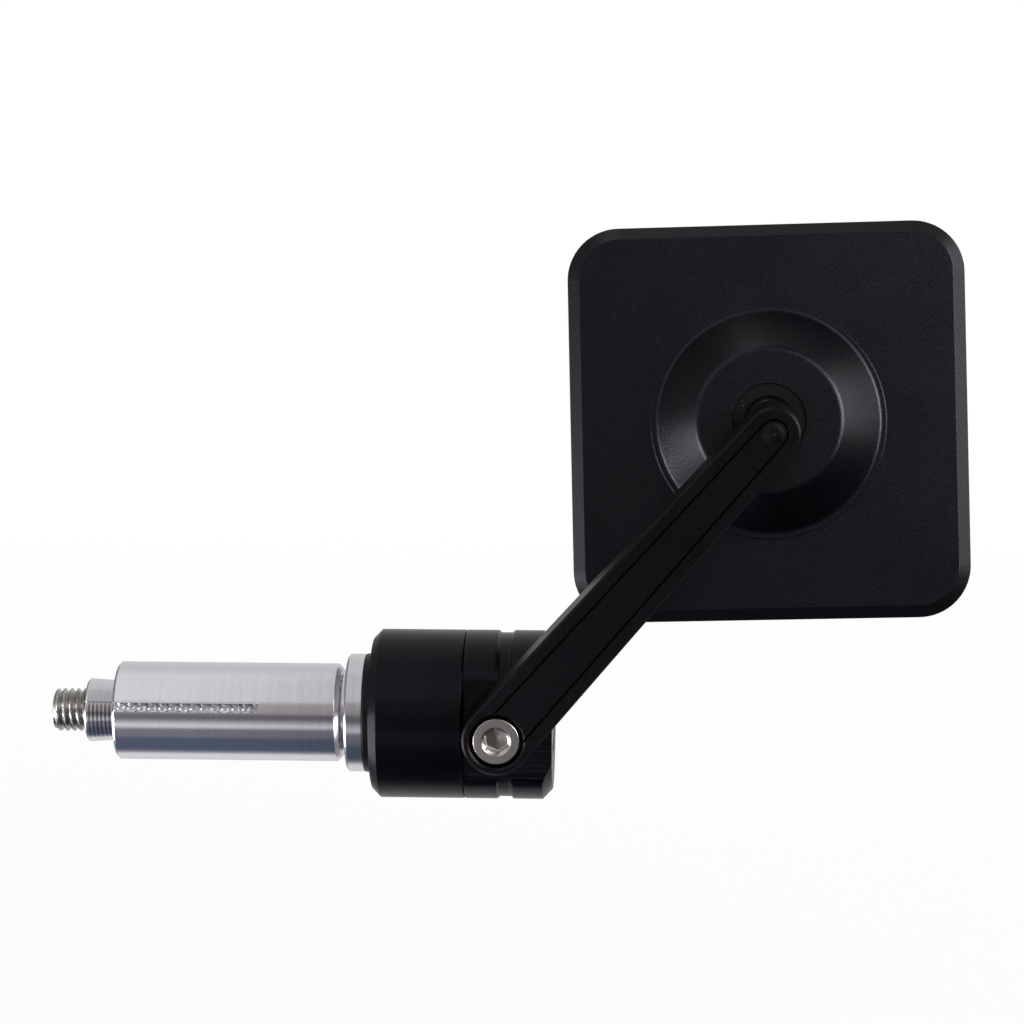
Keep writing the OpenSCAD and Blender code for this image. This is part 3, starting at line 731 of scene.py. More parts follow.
@dataclass
class Finishes:
    """The finishes of the mirror, made once and given out by name."""

    effects: Effects
    layout: Layout
    made: dict = field(default_factory=dict)

    def build(self) -> None:
        """Make every material."""
        head = self.layout.head()
        centre = tuple(c * MM for c in head.origin)
        tilt = math.radians(-self.layout.head_tilt)
        turn = (tilt, math.radians(-self.layout.head_roll), math.radians(self.layout.head_pan))
        pivot = (self.layout.pivot_x * MM, 0.0, 0.0)
        black = (0.0012, 0.001, 0.002)
        bright = (0.84, 0.835, 0.855)
        for finish in (
            Metal("black_turned", black, 0.0, 0.28, Texture.TURNED, 0.05, 0.25, 0.12, 0.12, specular=0.25),
            Metal(
                "black_cap", black, 0.0, 0.28, Texture.TURNED, 0.05, 0.25, 0.12, 0.12,
                specular=0.25, milled_half=10.5,
            ),
            Metal("black_shell", black, 0.0, 0.33, Texture.BLASTED, 0.4, 0.2, 0.12, 0.18, turn, centre),
            # The arm's engraved lines get painted shade on their floor.
            Metal(
                "black_arm", (0.0006, 0.0005, 0.001), 0.0, 0.34, Texture.BLASTED, 0.3, 0.2, 0.1, 0.1,
                specular=0.3, grit=0.0025, shaded_groove_at=-20.3,
            ),
            Metal("bright_turned", bright, 1.0, 0.14, Texture.TURNED, 0.09, 0.1, 0.02, 0.1),
            Metal("bright_collar", bright, 1.0, 0.15, Texture.TURNED, 0.1, 0.1, 0.03, 0.08),
            Metal("knurled", (0.88, 0.88, 0.89), 1.0, 0.42, Texture.BLASTED, 0.2, 0.2, 0.08, 0.05),
            Metal("wedge_bright", (0.87, 0.87, 0.885), 1.0, 0.19, Texture.TURNED, 0.1, 0.1, 0.06, 0.05),
            Metal("bolt_steel", (0.56, 0.54, 0.51), 1.0, 0.26, Texture.TURNED, 0.08, 0.1, 0.08, 0.05),
            Metal(
                "screw_steel", (0.56, 0.52, 0.475), 1.0, 0.3, Texture.TURNED, 0.12, 0.12, 0.07, 0.08,
                (0.0, 0.0, math.radians(90)), pivot,
            ),
            Metal("washer_steel", (0.5, 0.5, 0.5), 1.0, 0.3, Texture.BLASTED, 0.1),
            Metal("spring_steel", (0.3, 0.3, 0.31), 1.0, 0.35, Texture.BLASTED, 0.1),
            Metal("bush_brass", (0.6, 0.45, 0.2), 1.0, 0.3, Texture.TURNED, 0.1),
            Metal("stud_black", black, 0.0, 0.22, Texture.TURNED, 0.05, 0.2, 0.1, 0.12, specular=0.5),
            Plastic("seal_rubber", (0.004, 0.004, 0.004), 0.4, 0.12, 0.3),
            Plastic("liner_nylon", (0.0014, 0.002, 0.0013), 0.42, 0.2, 0.2),
            Plastic("washer_nylon", (0.012, 0.012, 0.012), 0.5),
            Plastic("pad_foam", (0.015, 0.015, 0.015), 0.8, 0.5),
            Silvered("mirror_silver", (0.86, 0.89, 0.9)),
        ):
            self.made[finish.name] = finish.build(self.effects)

    def dress(self, obj: bpy.types.Object, finish: str) -> None:
        """Give an object one finish."""
        obj.data.materials.clear()
        obj.data.materials.append(self.made[finish])

    def dress_node(self, node: bpy.types.Object, finish: str) -> None:
        """Give a carried-over node one finish in every slot."""
        if not node.material_slots:
            node.data.materials.append(self.made[finish])
        for entry in node.material_slots:
            entry.material = self.made[finish]


@dataclass
class Workshop:
    """What every sub-assembly needs: the frame, the finishes and the layout."""

    frame: dict
    finishes: Finishes
    layout: Layout

    def add(self, obj: bpy.types.Object, body: str, slot: str, finish: str, *nodes: str) -> None:
        """Dress a new piece, ride it on a body and let it stand for nodes.

        Args:
            obj: the new piece.
            body: body that it moves with.
            slot: material slot of the record; not used.
            finish: name of its finish.
            nodes: nodes that it replaces.
        """
        self.finishes.dress(obj, finish)
        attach(obj, body)
        if nodes:
            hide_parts(*nodes)
        LOG.info("piece %s on %s, %d faces", obj.name, body, len(obj.data.polygons))

    def keep(self, node: str, finish: str) -> None:
        """Give a carried-over node its finish."""
        self.finishes.dress_node(self.frame["nodes"][node], finish)
        LOG.info("node %s keeps its shape, finish %s", node, finish)


# Sub-assemblies


@dataclass
class Plug:
    """Sleeves, collar, seal and barrel, with sizes in mm."""

    sleeve_end: float = -40.15
    inner_radius: float = 6.8
    inner_bore: float = 4.8
    hub_x: float = 1.2
    slit_width: float = 1.6
    slit_length: float = 30.0
    slit_angle: float = 102.0
    sleeve_radius: float = 8.9
    sleeve_bore: float = 6.85
    slot_width: float = 1.55
    slot_length: float = 26.5
    slot_angle: float = 17.0
    end_chamfer: Span = (0.45, 0.45)
    hub_chamfer: float = 0.75
    knurl_pitch: float = 1.9
    knurl_depth: float = 0.22
    knurl_floor: float = 1.35
    knurl_flank: float = 0.2
    mouth_length: float = 8.4
    mouth_radius: float = 5.53
    knurl_step: float = 0.2
    knurl_columns: int = 201
    slotted_columns: int = 91

    def knurled_sleeve(self, place: Placement) -> bpy.types.Object:
        """Knurled sleeve with an open slit.

        The wall follows the angle round the axis from one side of the slit to the other. The outer radius
        dips by two slanting sets of grooves: by the lesser distance to a groove of either set, where the
        distance is that of the angle in grooves, plus or less the place along the axis, to a whole
        number. A whole number of grooves goes round. The bore widens towards its mouth.

        Args:
            place: axes of the bar.

        Returns:
            The object.
        """
        x = np.append(np.arange(self.sleeve_end, self.hub_x - self.knurl_step, self.knurl_step), self.hub_x)
        middle = math.radians(90 - self.slit_angle)
        in_slit = x < self.sleeve_end + self.slit_length
        half = np.where(in_slit, self.slit_width / 2 / self.inner_radius, 0.0)[:, None]
        angle = middle + half + np.linspace(0, 1, self.knurl_columns) * (TAU - 2 * half)
        turns = angle / TAU * round(TAU * self.inner_radius / self.knurl_pitch)
        along = x[:, None] / self.knurl_pitch
        rising = np.abs((turns + along + 0.5) % 1 - 0.5)
        falling = np.abs((turns - along + 0.5) % 1 - 0.5)
        dip = np.clip(self.knurl_floor - np.minimum(rising, falling) / self.knurl_flank, 0, 1)
        outer = self.inner_radius - self.knurl_depth * dip
        mouth = [self.sleeve_end, self.sleeve_end + self.mouth_length]
        bore = np.interp(x, mouth, [self.mouth_radius, self.inner_bore])[:, None]
        quarter = angle + math.pi / 2
        points = [ring_points(radius, quarter, x[:, None]) for radius in (outer, bore)]
        n, m = angle.shape
        inwards = n * m
        outside = np.array(grid_faces(n, m, False, False))
        inside = outside[:, ::-1] + inwards
        row = np.arange(n - 1)[in_slit[:-1], None] * m
        near = np.hstack([row, row + m, row + m + inwards, row + inwards])
        far = near[:, ::-1] + m - 1
        ring = np.arange(m - 1)[:, None]
        start = np.hstack([ring, ring + inwards, ring + 1 + inwards, ring + 1])
        stop = start[:, ::-1] + (n - 1) * m
        faces = np.concatenate([outside, inside, near, far, start, stop]).tolist()
        return new_piece("knurled_sleeve", place.place(np.concatenate(points)), faces, 50.0)

    def slotted_sleeve(self, place: Placement) -> bpy.types.Object:
        """Outer sleeve of two half walls, with a slot between them on either side.

        Each half follows the angle from one slot's side to the other's and, across it, the wall's closed
        profile. A side's angle is the arc sine of half the slot's width over the radius, so the slot's
        sides are parallel. Past the slots it is nought, and the halves meet.

        Args:
            place: axes of the bar.

        Returns:
            The object.
        """
        long, cut = self.end_chamfer
        stop = self.sleeve_end + self.slot_length
        x = np.array([self.sleeve_end, self.sleeve_end + long, stop, stop, 0.0, self.hub_chamfer])
        outer = self.sleeve_radius - np.array([cut, 0.0, 0.0, 0.0, 0.0, self.hub_chamfer])
        radius = np.concatenate([outer, np.full(6, self.sleeve_bore)])[:, None]
        level = np.concatenate([x, x[::-1]])[:, None]
        in_slot = np.array([1, 1, 1, 0, 0, 0, 0, 0, 0, 1, 1, 1])[:, None]
        side = np.arcsin(self.slot_width / 2 / radius) * in_slot
        widest = math.asin(self.slot_width / 2 / self.sleeve_bore)
        between = np.linspace(widest, math.pi - widest, self.slotted_columns) + 0 * radius
        angle = np.concatenate([side, between, math.pi - side], axis=1)
        n, m = angle.shape
        row = np.arange(3)
        back = n - 1 - row
        near = np.stack([row * m, (row + 1) * m, (back - 1) * m, back * m], axis=-1)
        walls = np.concatenate([near, near[:, ::-1] + m - 1])
        quads = np.array(grid_faces(n, m, True, False) + walls.tolist())
        points, faces = [], []
        for half in range(2):
            a = angle + math.pi * (1 + half) - math.radians(self.slot_angle)
            points.append(ring_points(radius, a, level))
            faces += (quads + half * n * m).tolist()
        return new_piece("slotted_sleeve", place.place(np.concatenate(points)), faces, 25.0)

    def build(self, shop: Workshop) -> None:
        """Make and dress the plug.

        Args:
            shop: the frame, the finishes and the layout.
        """
        place = shop.layout.bar()
        shop.add(self.slotted_sleeve(place), "plug", "sleeve_aluminium", "bright_turned", "outer_sleeve")
        shop.add(self.knurled_sleeve(place), "plug", "knurled_aluminium", "knurled", "inner_sleeve")
        shop.keep("collar", "bright_collar")
        shop.keep("seal_ring", "seal_rubber")
        shop.keep("barrel", "black_turned")


@dataclass
class Clamp:
    """Clamp bolt with its thread, washer and wedge nut, with sizes in mm."""

    bolt_end: float = -52.05
    bolt_radius: float = 3.925
    bolt_seat: float = 34.1
    head_radius: float = 6.5
    head_height: float = 5.0
    head_edge: float = 0.1
    head_bevel: float = 0.5
    head_bulge: float = 0.15
    socket_rims: tuple = ((4.1, 0.0), (3.75, 0.25))
    socket_cone: float = 0.8
    key: float = 6.0
    key_depth: float = 3.0
    pitch: float = 1.25
    thread_depth: float = 0.62
    thread_length: float = 26.0
    thread_step: float = 0.07
    thread_flat: float = 0.08
    thread_flank: float = 0.82
    nose: float = 1.0
    run_out: float = 1.5
    bolt_steps: int = 96
    wedge_x: float = -45.75
    wedge_length: float = 14.0
    wedge_radius: float = 5.8
    taper: float = 3.8
    ridge_pitch: float = 0.73
    ridge_depth: float = 0.016
    seam_angle: float = 27.5
    seam_width: float = 0.3
    seam_depth: float = 0.5
    key_from: float = -40.15
    key_width: float = 1.2
    key_height: float = 0.8
    key_angle: float = 102.0
    corner: float = 0.3
    bore_gap: float = 0.05
    side_steps: tuple = (-1.15, -1.0, 1.0, 1.15)
    side_clear: float = 1.4
    side_within: float = 1.05
    ridge_fade: float = 8.0
    wedge_steps: int = 120
    ridge_steps: int = 8

    def bolt(self, place: Placement) -> bpy.types.Object:
        """Bolt with a turned head, a hexagonal socket and a real thread.

        Along the thread the radius falls from the crest by a triangle wave of the place along the axis
        less the angle in turns times the pitch, with narrow flats on crest and root. At the nose it's held
        within a quarter circle, which rounds the end, and at the other end of the thread the depth fades.

        Args:
            place: axes of the bar.

        Returns:
            The object.
        """
        steps = self.bolt_steps
        angle = np.linspace(0, TAU, steps, endpoint=False)
        x = np.arange(self.bolt_end, self.bolt_end + self.thread_length, self.thread_step)
        phase = (x[:, None] / self.pitch - angle[None, :] / TAU) % 1.0
        wave = np.clip((np.abs(2 * phase - 1) - self.thread_flat) / self.thread_flank, 0, 1)
        start = np.clip((x - self.bolt_end) / self.nose, 0, 1)[:, None]
        limit = self.bolt_radius - self.nose * (1 - np.sqrt(1 - (1 - start) ** 2))
        fade = np.clip((self.bolt_end + self.thread_length - x) / self.run_out, 0, 1)[:, None]
        radius = np.minimum(self.bolt_radius - self.thread_depth * wave * fade, limit)
        head_end = self.bolt_seat + self.head_height
        flat = (angle + math.pi / 6) % (math.pi / 3) - math.pi / 6
        hexagon = self.key / 2 / np.cos(flat)
        fixed = [
            (self.bolt_radius, self.bolt_seat - 0.3),
            (self.bolt_radius, self.bolt_seat),
            (self.head_radius - self.head_edge, self.bolt_seat),
            (self.head_radius, self.bolt_seat + self.head_edge),
            (self.head_radius, head_end - self.head_bevel),
            (self.head_radius - self.head_bulge, head_end - self.head_bulge),
            (self.head_radius - self.head_bevel, head_end),
            *((radius, head_end - drop) for radius, drop in self.socket_rims),
        ]
        point = np.full((1, steps), POINT)
        rings = [point, radius] + [np.full((1, steps), r) for r, _ in fixed]
        rings += [hexagon[None, :], hexagon[None, :], point]
        heights = [self.bolt_end] + list(x) + [h for _, h in fixed]
        floor = head_end - self.key_depth
        heights += [head_end - 0.3, floor, floor - self.socket_cone]
        points = ring_points(np.concatenate(rings), angle, np.array(heights)[:, None])
        faces = grid_faces(len(heights), steps, False, True)
        return new_piece("threaded_bolt", place.place(points), faces, 40.0)

    def wedge(self, place: Placement) -> bpy.types.Object:
        """Tapered nut with fine ridges round it, a narrow groove along it and a key on top.

        The outer radius is the taper, less a rounded ridge wave along the axis on the side below the
        groove, and less the groove's depth where the angle lies within its width. Where the angle lies
        within the key's width, it's the height of the key. The bore is plain.

        Args:
            place: axes of the bar.

        Returns:
            The object.
        """
        x = self.wedge_x + np.arange(0, self.wedge_length + 0.01, self.ridge_pitch / self.ridge_steps)
        mid = math.pi - math.radians(self.seam_angle)
        half = self.seam_width / 2 / self.wedge_radius
        key_mid = math.pi - math.radians(self.key_angle)
        key_half = self.key_width / 2 / self.wedge_radius
        steps = np.array(self.side_steps)
        spread = np.linspace(0, TAU, self.wedge_steps, endpoint=False)
        off_groove = np.abs(spread - mid) > self.side_clear * half
        spread = spread[off_groove & (np.abs(spread - key_mid) > self.side_clear * key_half)]
        angle = np.sort(np.concatenate([mid + steps * half, key_mid + steps * key_half, spread]))
        taper = self.wedge_radius - (x - self.wedge_x) * math.tan(math.radians(self.taper))
        ridges = self.ridge_depth * (0.5 - 0.5 * np.cos(TAU * (x - self.wedge_x) / self.ridge_pitch))
        edge = self.corner * (1 - np.clip((x - self.wedge_x) / self.corner, 0, 1))
        below = np.clip(self.ridge_fade * np.sin(angle - mid), 0, 1)
        outer = (taper - edge)[:, None] - ridges[:, None] * below[None, :]
        in_groove = np.abs(angle - mid) < self.side_within * half
        outer = outer - np.where(in_groove, self.seam_depth, 0.0)
        on_key = (np.abs(angle - key_mid) < self.side_within * key_half) & (x[:, None] > self.key_from)
        outer = np.where(on_key, taper[-1] + self.key_height, outer)
        bore = np.full((len(x), len(angle)), self.bolt_radius + self.bore_gap)
        radii = np.concatenate([outer, bore[::-1]])
        points = ring_points(radii, angle, np.concatenate([x, x[::-1]])[:, None])
        faces = grid_faces(len(radii), len(angle), True, True)
        return new_piece("ridged_wedge", place.place(points), faces, 40.0)

    def build(self, shop: Workshop) -> None:
        """Make and dress the clamp.

        Args:
            shop: the frame, the finishes and the layout.
        """
        place = shop.layout.bar()
        shop.add(self.bolt(place), "bolt", "bolt_steel", "bolt_steel", "clamp_bolt")
        shop.keep("bolt_washer", "washer_steel")
        shop.add(self.wedge(place), "wedge", "wedge_aluminium", "wedge_bright", "wedge_nut")


@dataclass
class SwingArm:
    """End cap, pivot screw and arm, with sizes in mm."""

    cap_start: float = 23.35
    cap_end: float = 39.25
    cap_radius: float = 15.3
    groove: Span = (29.45, 31.95)
    groove_depth: float = 0.43
    groove_slope: float = 0.215
    bevel: Span = (1.8, 1.9)
    recess_radius: float = 6.85
    recess_x: float = 33.35
    bore: float = 4.15
    seat_w: float = 12.2
    seat_half: float = 7.4
    seat_span: float = 0.9
    seat_steps: int = 240
    back_steps: int = 96
    cap_step: float = 0.3
    cap_corner: float = 0.14
    cap_edge: float = 0.15
    recess_bevel: float = 0.3
    head_radius: float = 4.1
    seat: float = 16.6
    top: float = 20.5
    shank_radius: float = 2.45
    tip: float = 6.2
    key: float = 4.0
    key_depth: float = 2.3
    key_turn: float = 19.0
    mouth: float = 2.52
    mouth_profile: tuple = ((0.2, 0.0), (0.12, 0.0), (0.03, 0.04), (-0.12, 0.25))
    socket_start: float = 0.42
    floor_edge: float = 0.1
    floor_share: float = 0.94
    rim: float = 0.2
    tip_bevel: float = 0.4
    seat_edge: float = 0.05
    dish: float = 0.28
    dish_shares: Triple = (0.86, 0.6, 0.3)
    screw_steps: int = 120

    def seat_radius(self, angle: np.ndarray) -> np.ndarray:
        """Distance from the axis to the milled seat and its blend.

        Within the flat it is the seat's distance divided by the cosine of the angle; along the blend it
        is the far crossing with a circle that touches the flat and the round; beyond that it is large.

        Args:
            angle: angles from the middle of the seat.

        Returns:
            Distances in mm.
        """
        gap = self.cap_radius - self.seat_w
        blend = (self.cap_radius**2 - self.seat_w**2 - self.seat_half**2) / (2 * gap)
        reach = self.cap_radius - blend
        middle = math.atan2(self.seat_half, self.seat_w - blend)
        off = np.abs(angle) - middle
        inside = np.clip(blend**2 - (reach * np.sin(off)) ** 2, 0, None)
        curved = reach * np.cos(off) + np.sqrt(inside)
        flat = self.seat_w / np.cos(np.clip(np.abs(angle), 0, 1.2))
        near = np.abs(angle) < math.atan2(self.seat_half, self.seat_w)
        return np.where(near, flat, np.where(off < 0, curved, 100.0))

    def cap(self, place: Placement) -> bpy.types.Object:
        """End cap: a turned profile cut by the milled seat.

        The radius is the lesser of the turned profile at that place along the axis and the distance to
        the seat at that angle.

        Args:
            place: axes of the bar.

        Returns:
            The object.
        """
        wall = self.groove_slope
        low = self.cap_radius - self.groove_depth
        corner = (self.cap_end - self.bevel[0], self.cap_radius - self.bevel[1])
        outline = [
            (self.bore, self.cap_start, 0.2),
            (self.cap_radius - self.cap_edge, self.cap_start, 0.3),
            (self.cap_radius, self.cap_start + self.cap_edge, 0.3),
            (self.cap_radius, self.groove[0] - wall),
            (low, self.groove[0] + wall),
            (low, self.groove[1] - wall),
            (self.cap_radius, self.groove[1] + wall),
            (self.cap_radius, corner[0]),
            (corner[1], self.cap_end),
            (self.recess_radius + self.recess_bevel, self.cap_end),
            (self.recess_radius, self.cap_end - self.recess_bevel),
            (self.recess_radius, self.recess_x, 0.2),
            (self.bore, self.recess_x, 0.2),
        ]
        turned = rounded(outline, self.cap_corner, 3)
        after = np.roll(turned, -1, 0)
        length = np.linalg.norm(after - turned, axis=1)
        parts = [
            a + (b - a) * np.linspace(0, 1, max(1, math.ceil(n / self.cap_step)), endpoint=False)[:, None]
            for a, b, n in zip(turned, after, length)
        ]
        line = np.concatenate(parts)
        near = np.linspace(-self.seat_span, self.seat_span, self.seat_steps, endpoint=False)
        rest = np.linspace(self.seat_span, TAU - self.seat_span, self.back_steps, endpoint=False)
        angle = np.concatenate([near, rest])
        off = (angle + math.pi) % TAU - math.pi
        radii = np.minimum(line[:, 0:1], self.seat_radius(off)[None, :])
        points = ring_points(radii, math.pi - angle, line[:, 1:2])
        faces = grid_faces(len(line), len(angle), True, True)
        return new_piece("milled_cap", place.place(points), faces, 28.0)

    def screw(self, place: Placement) -> bpy.types.Object:
        """Socket screw with rounded rims, a coned mouth and a dished floor in its hexagonal socket.

        Round rings are stacked along Z; in the socket the radius is the hexagon's half width divided by
        the cosine of the angle from the nearest flat.

        Args:
            place: axes of the pivot.

        Returns:
            The object.
        """
        steps = self.screw_steps
        angle = np.linspace(0, TAU, steps, endpoint=False)
        flat = (angle - math.radians(self.key_turn) + math.pi / 6) % (math.pi / 3) - math.pi / 6
        hexagon = self.key / 2 / np.cos(flat)
        bend = np.linspace(0, math.pi / 2, 7)
        edge = self.rim
        wide, high = self.head_radius - edge, self.top - edge
        rim = [(wide + edge * math.cos(b), high + edge * math.sin(b)) for b in bend]
        floor = self.top - self.key_depth
        outside = [
            (POINT, self.tip),
            (self.shank_radius - self.tip_bevel, self.tip),
            (self.shank_radius, self.tip + self.tip_bevel),
            (self.shank_radius, self.seat),
            (self.head_radius - self.seat_edge, self.seat),
            (self.head_radius, self.seat + self.seat_edge),
            *rim,
            (wide - self.seat_edge, self.top),
            *((self.mouth + out, self.top - drop) for out, drop in self.mouth_profile),
        ]
        rings = [np.full(steps, r) for r, _ in outside]
        heights = [h for _, h in outside]
        start, low = self.top - self.socket_start, floor + self.floor_edge
        for share, height in ((1.0, start), (1.0, low), (self.floor_share, floor)):
            rings.append(hexagon * share)
            heights.append(height)
        for share in self.dish_shares:
            rings.append(np.full(steps, self.key / 2 * share))
            heights.append(floor - self.dish * (1 - share))
        rings.append(np.full(steps, POINT))
        heights.append(floor - self.dish)
        points = ring_points(np.stack(rings), angle, np.array(heights)[:, None])
        faces = grid_faces(len(heights), steps, False, True)
        return new_piece("socket_screw", place.place(points), faces, 35.0)

    def build(self, shop: Workshop) -> None:
        """Make and dress the cap, the pivot and the arm.

        Args:
            shop: the frame, the finishes and the layout.
        """
        for node, finish in {
            "friction_washer": "washer_nylon",
            "spring_washer": "spring_steel",
            "pivot_bush": "bush_brass",
            "arm": "black_arm",
        }.items():
            shop.keep(node, finish)
        shop.add(self.cap(shop.layout.bar()), "cap", "anodised_black", "black_cap", "end_cap")
        screw = self.screw(shop.layout.pivot())
        shop.add(screw, "cap", "stainless_screw", "screw_steel", "pivot_screw")


@dataclass
class MirrorHead:
    """Ball joint, shell and glass, with the glass's sizes in mm."""

    glass_half: float = 32.7
    corner: float = 6.45
    glass_back: float = -10
    glass_thickness: float = 2.6
    curve_radius: float = 1400.0
    rim_slack: float = 0.5
    rings: int = 30
    ring_span: Span = (0.02, 0.995)
    corner_steps: int = 12
    side_steps: int = 11

    def glass(self, place: Placement) -> bpy.types.Object:
        """Convex mirror glass with a smooth face.

        The outline is a square with round corners. Rings of it, drawn in towards the middle, lie on a sphere
        whose lowest point is the middle of the face. The back is flat.

        Args:
            place: axes of the mirror head.

        Returns:
            The object.
        """
        side = np.linspace(0, 1, self.side_steps)[1:-1]
        bend = np.linspace(0, math.pi / 2, self.corner_steps)
        quarter = np.concatenate([bend, np.full(len(side), math.pi / 2)])
        slide = np.concatenate([np.zeros(self.corner_steps), side])
        flat = self.glass_half - self.corner
        x = flat + self.corner * np.cos(quarter) - 2 * flat * slide
        y = flat + self.corner * np.sin(quarter)
        outline = [np.stack([x, y], axis=-1)]
        for _ in range(3):
            outline.append(outline[-1] @ np.array([[0, 1], [-1, 0]]))
        ring = np.concatenate(outline)
        share = np.concatenate([np.linspace(*self.ring_span, self.rings), [1.0]])
        face = share[:, None, None] * ring[None]
        reach = flat * math.sqrt(2) + self.corner + self.rim_slack
        rim = self.glass_back - self.glass_thickness
        centre = rim + math.sqrt(self.curve_radius**2 - reach**2)
        depth = centre - np.sqrt(self.curve_radius**2 - (face**2).sum(axis=-1))
        front = np.concatenate([face, depth[..., None]], axis=-1)
        back_ring = np.concatenate([ring, np.full((len(ring), 1), self.glass_back)], axis=-1)
        grid = np.concatenate([front, back_ring[None]])
        n, m = grid.shape[:2]
        faces = grid_faces(n, m, False, True)
        faces += [list(range(m))[::-1], list(range((n - 1) * m, n * m))]
        return new_piece("domed_glass", place.place(grid.reshape(-1, 3)), faces, 30.0)

    def build(self, shop: Workshop) -> None:
        """Make and dress the mirror head.

        Args:
            shop: the frame, the finishes and the layout.
        """
        for node, finish in {
            "ball_stud": "stud_black",
            "ball_liner_front": "liner_nylon",
            "ball_liner_rear": "liner_nylon",
            "disc_spring": "spring_steel",
            "clamp_plate": "washer_steel",
            "clamp_screws": "washer_steel",
            "head_shell": "black_shell",
            "adhesive_pad": "pad_foam",
        }.items():
            shop.keep(node, finish)
        glass = self.glass(shop.layout.head())
        shop.add(glass, "head", "mirror_glass", "mirror_silver", "mirror_glass")


# Studio


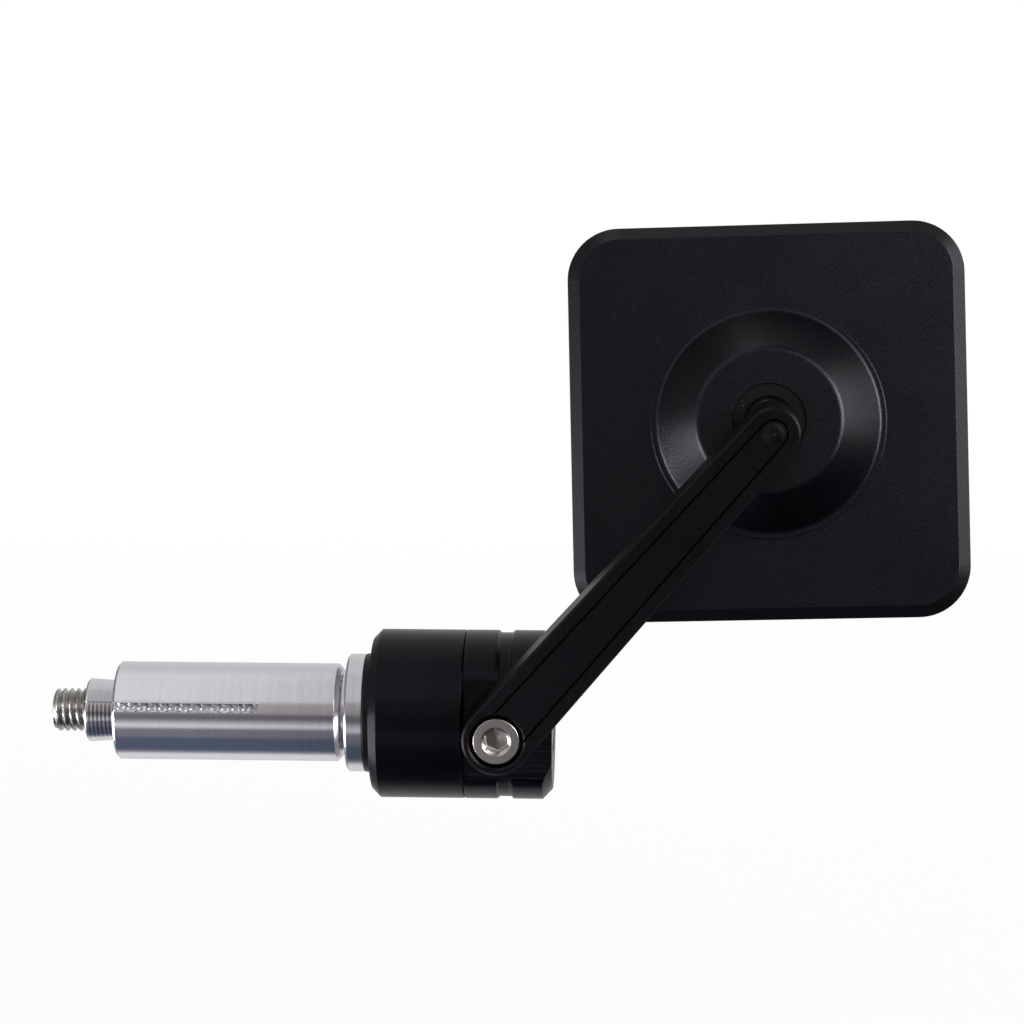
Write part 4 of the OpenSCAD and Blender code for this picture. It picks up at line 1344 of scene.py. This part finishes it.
@dataclass
class Studio:
    """Camera, world, floor and lamps, with sizes in metres."""

    target: Triple = (0.03164, 0.0, 0.0373)
    azimuth: float = 2.56
    elevation: float = 9.61
    distance: float = 0.49168
    lens: float = 96.16
    sensor: float = 36.0
    clip_end: float = 20.0
    floor_z: float = -0.125
    floor_radius: float = 3.0
    floor_steps: int = 64
    floor_fade: Span = (0.2, 0.9)
    floor_glow: Span = (0.94, 1.0)
    paper: Noise = Noise(300.0)
    paper_low: tuple = (0.79, 0.79, 0.795, 1.0)
    paper_high: tuple = (0.8, 0.8, 0.8, 1.0)
    dim_from: Span = (-0.1, -0.05)
    dim_front: Span = (0.8, 0.0)
    dim_to: float = 0.12
    left_from: Span = (-0.25, -0.5)
    left_front: Span = (-0.35, -0.15)
    left_to: float = 0.35
    gain: float = 1.3
    bands: tuple = (
        (-180, (0.42, 0.42, 0.43)),
        (-112, (0.6, 0.59, 0.61)),
        (-99, (0.17, 0.17, 0.21)),
        (-90, (0.065, 0.08, 0.12)),
        (-57, (0.07, 0.085, 0.125)),
        (-48, (0.15, 0.15, 0.18)),
        (-31, (0.15, 0.15, 0.19)),
        (-24, (0.6, 0.59, 0.62)),
        (-18, (0.5, 0.49, 0.52)),
        (-11, (0.27, 0.26, 0.3)),
        (-5, (0.12, 0.115, 0.13)),
        (4, (0.13, 0.12, 0.13)),
        (10, (0.3, 0.28, 0.29)),
        (29, (0.36, 0.335, 0.345)),
        (36, (0.6, 0.59, 0.62)),
        (100, (0.58, 0.58, 0.6)),
        (130, (0.46, 0.46, 0.47)),
        (179, (0.5, 0.5, 0.51)),
    )
    lamps: tuple = (
        ("right_box", (1.2, 0.22, 0.38), (1.0, 1.0), 4.0),
        ("left_box", (-1.15, 0.2, -0.36), (0.75, 0.6), 3.4),
        ("front_right_box", (0.85, -0.5, 0.32), (0.45, 0.5), 9.0),
        ("upper_box", (0.29, -0.42, 0.34), (0.28, 0.28), 0.45),
        ("front_left_box", (-0.85, -0.38, -0.3), (0.4, 0.4), 7.0),
    )

    def camera(self) -> None:
        """Set the camera at the photo's angle."""
        data = bpy.data.cameras.new("camera")
        data.lens = self.lens
        data.sensor_width = self.sensor
        data.clip_end = self.clip_end
        obj = linked("camera", data)
        a, e = math.radians(self.azimuth), math.radians(self.elevation)
        back = Vector((math.sin(a) * math.cos(e), -math.cos(a) * math.cos(e), math.sin(e)))
        obj.location = Vector(self.target) + back * self.distance
        obj.rotation_euler = back.to_track_quat("Z", "Y").to_euler()
        bpy.context.scene.camera = obj

    def world(self) -> None:
        """White for the camera; for light and gloss, bands of grey by the angle round the bar's direction.

        The bands are dimmed in front and to the right, and less so at the sides to the left.
        """
        world = bpy.data.worlds.new("studio")
        world.use_nodes = True
        bpy.context.scene.world = world
        t = Tree(world.node_tree)
        world.node_tree.nodes.clear()
        x, y, z = t.split(t.node("ShaderNodeTexCoord").outputs["Generated"])
        angle = t.math("ARCTAN2", z, t.math("MULTIPLY", y, -1.0))
        ramp = t.node("ShaderNodeValToRGB", inputs={0: t.span(angle, (-math.pi, math.pi))})
        stops = ramp.color_ramp.elements
        while len(stops) > 1:
            stops.remove(stops[-1])
        for number, (degrees, colour) in enumerate(self.bands):
            place = (degrees + 180.0) / 360.0
            stop = stops[0] if number == 0 else stops.new(place)
            stop.position = place
            stop.color = colour + (1.0,)
        dim = t.math("MULTIPLY", t.span(x, self.dim_from), t.span(y, self.dim_front))
        left = t.math("MULTIPLY", t.span(x, self.left_from), t.span(y, self.left_front))
        share = t.span(dim, (0.0, 1.0), (1.0, self.dim_to))
        share = t.math("MULTIPLY", share, t.span(left, (0.0, 1.0), (self.gain, self.left_to * self.gain)))
        light = t.node("ShaderNodeBackground", inputs={"Color": ramp.outputs[0], "Strength": share})
        white = t.node("ShaderNodeBackground", inputs={"Color": (1, 1, 1, 1), "Strength": 1.0})
        seen = t.node("ShaderNodeLightPath").outputs["Is Camera Ray"]
        both = t.node("ShaderNodeMixShader", inputs={0: seen, 1: light.outputs[0], 2: white.outputs[0]})
        t.feed(t.node("ShaderNodeOutputWorld").inputs[0], both.outputs[0])

    def floor(self) -> None:
        """A pale round floor that shows near white, keeps the object's shadow and fades into the backdrop."""
        mesh = bpy.data.meshes.new("studio_floor")
        angle = np.linspace(0, TAU, self.floor_steps, endpoint=False)
        ring = ring_points(self.floor_radius, angle, self.floor_z)
        mesh.from_pydata(ring.tolist(), [], [list(range(self.floor_steps))])
        obj = linked("studio_floor", mesh)
        made, t = new_material("studio_paper")
        where = t.node("ShaderNodeTexCoord").outputs["Object"]
        paper = t.mix(t.noise(where, self.paper), self.paper_low, self.paper_high)
        diffuse = t.node("ShaderNodeBsdfDiffuse", inputs={"Color": paper})
        glow = t.node("ShaderNodeEmission", inputs={"Color": (1, 1, 1, 1), "Strength": 1.0})
        x, y, _ = t.split(where)
        far = t.math("MAXIMUM", t.math("ABSOLUTE", x), t.math("ABSOLUTE", y))
        share = t.span(far, self.floor_fade, self.floor_glow)
        shown = t.node("ShaderNodeMixShader", inputs={0: share, 1: diffuse.outputs[0], 2: glow.outputs[0]})
        clear = t.node("ShaderNodeBsdfTransparent")
        seen = t.node("ShaderNodeLightPath").outputs["Is Camera Ray"]
        both = t.node("ShaderNodeMixShader", inputs={0: seen, 1: clear.outputs[0], 2: shown.outputs[0]})
        close_material(t, both)
        mesh.materials.append(made)

    def lamp(self, name: str, place: Triple, size: Span, power: float) -> None:
        """Add a soft box that points at the object.

        Args:
            name: name of the lamp.
            place: where it stands, in metres.
            size: width and height in metres.
            power: power in watts.
        """
        data = bpy.data.lights.new(name, "AREA")
        data.shape = "RECTANGLE"
        data.size, data.size_y = size
        data.energy = power
        obj = linked(name, data)
        obj.location = place
        aim = Vector(place) - Vector(self.target)
        obj.rotation_euler = aim.to_track_quat("Z", "Y").to_euler()

    def build(self) -> None:
        """Set up the studio."""
        self.camera()
        self.world()
        self.floor()
        for lamp in self.lamps:
            self.lamp(*lamp)
        bpy.context.scene.view_settings.view_transform = "Standard"


def main() -> None:
    """Build the looks in order and report each piece."""
    logging.basicConfig(level=logging.INFO, format="%(name)s: %(message)s")
    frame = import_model()
    layout = Layout()
    finishes = Finishes(Effects(), layout)
    finishes.build()
    shop = Workshop(frame, finishes, layout)
    for part in (Plug(), Clamp(), SwingArm(), MirrorHead()):
        part.build(shop)
    Studio().build()


if __name__ == "__main__":
    main()
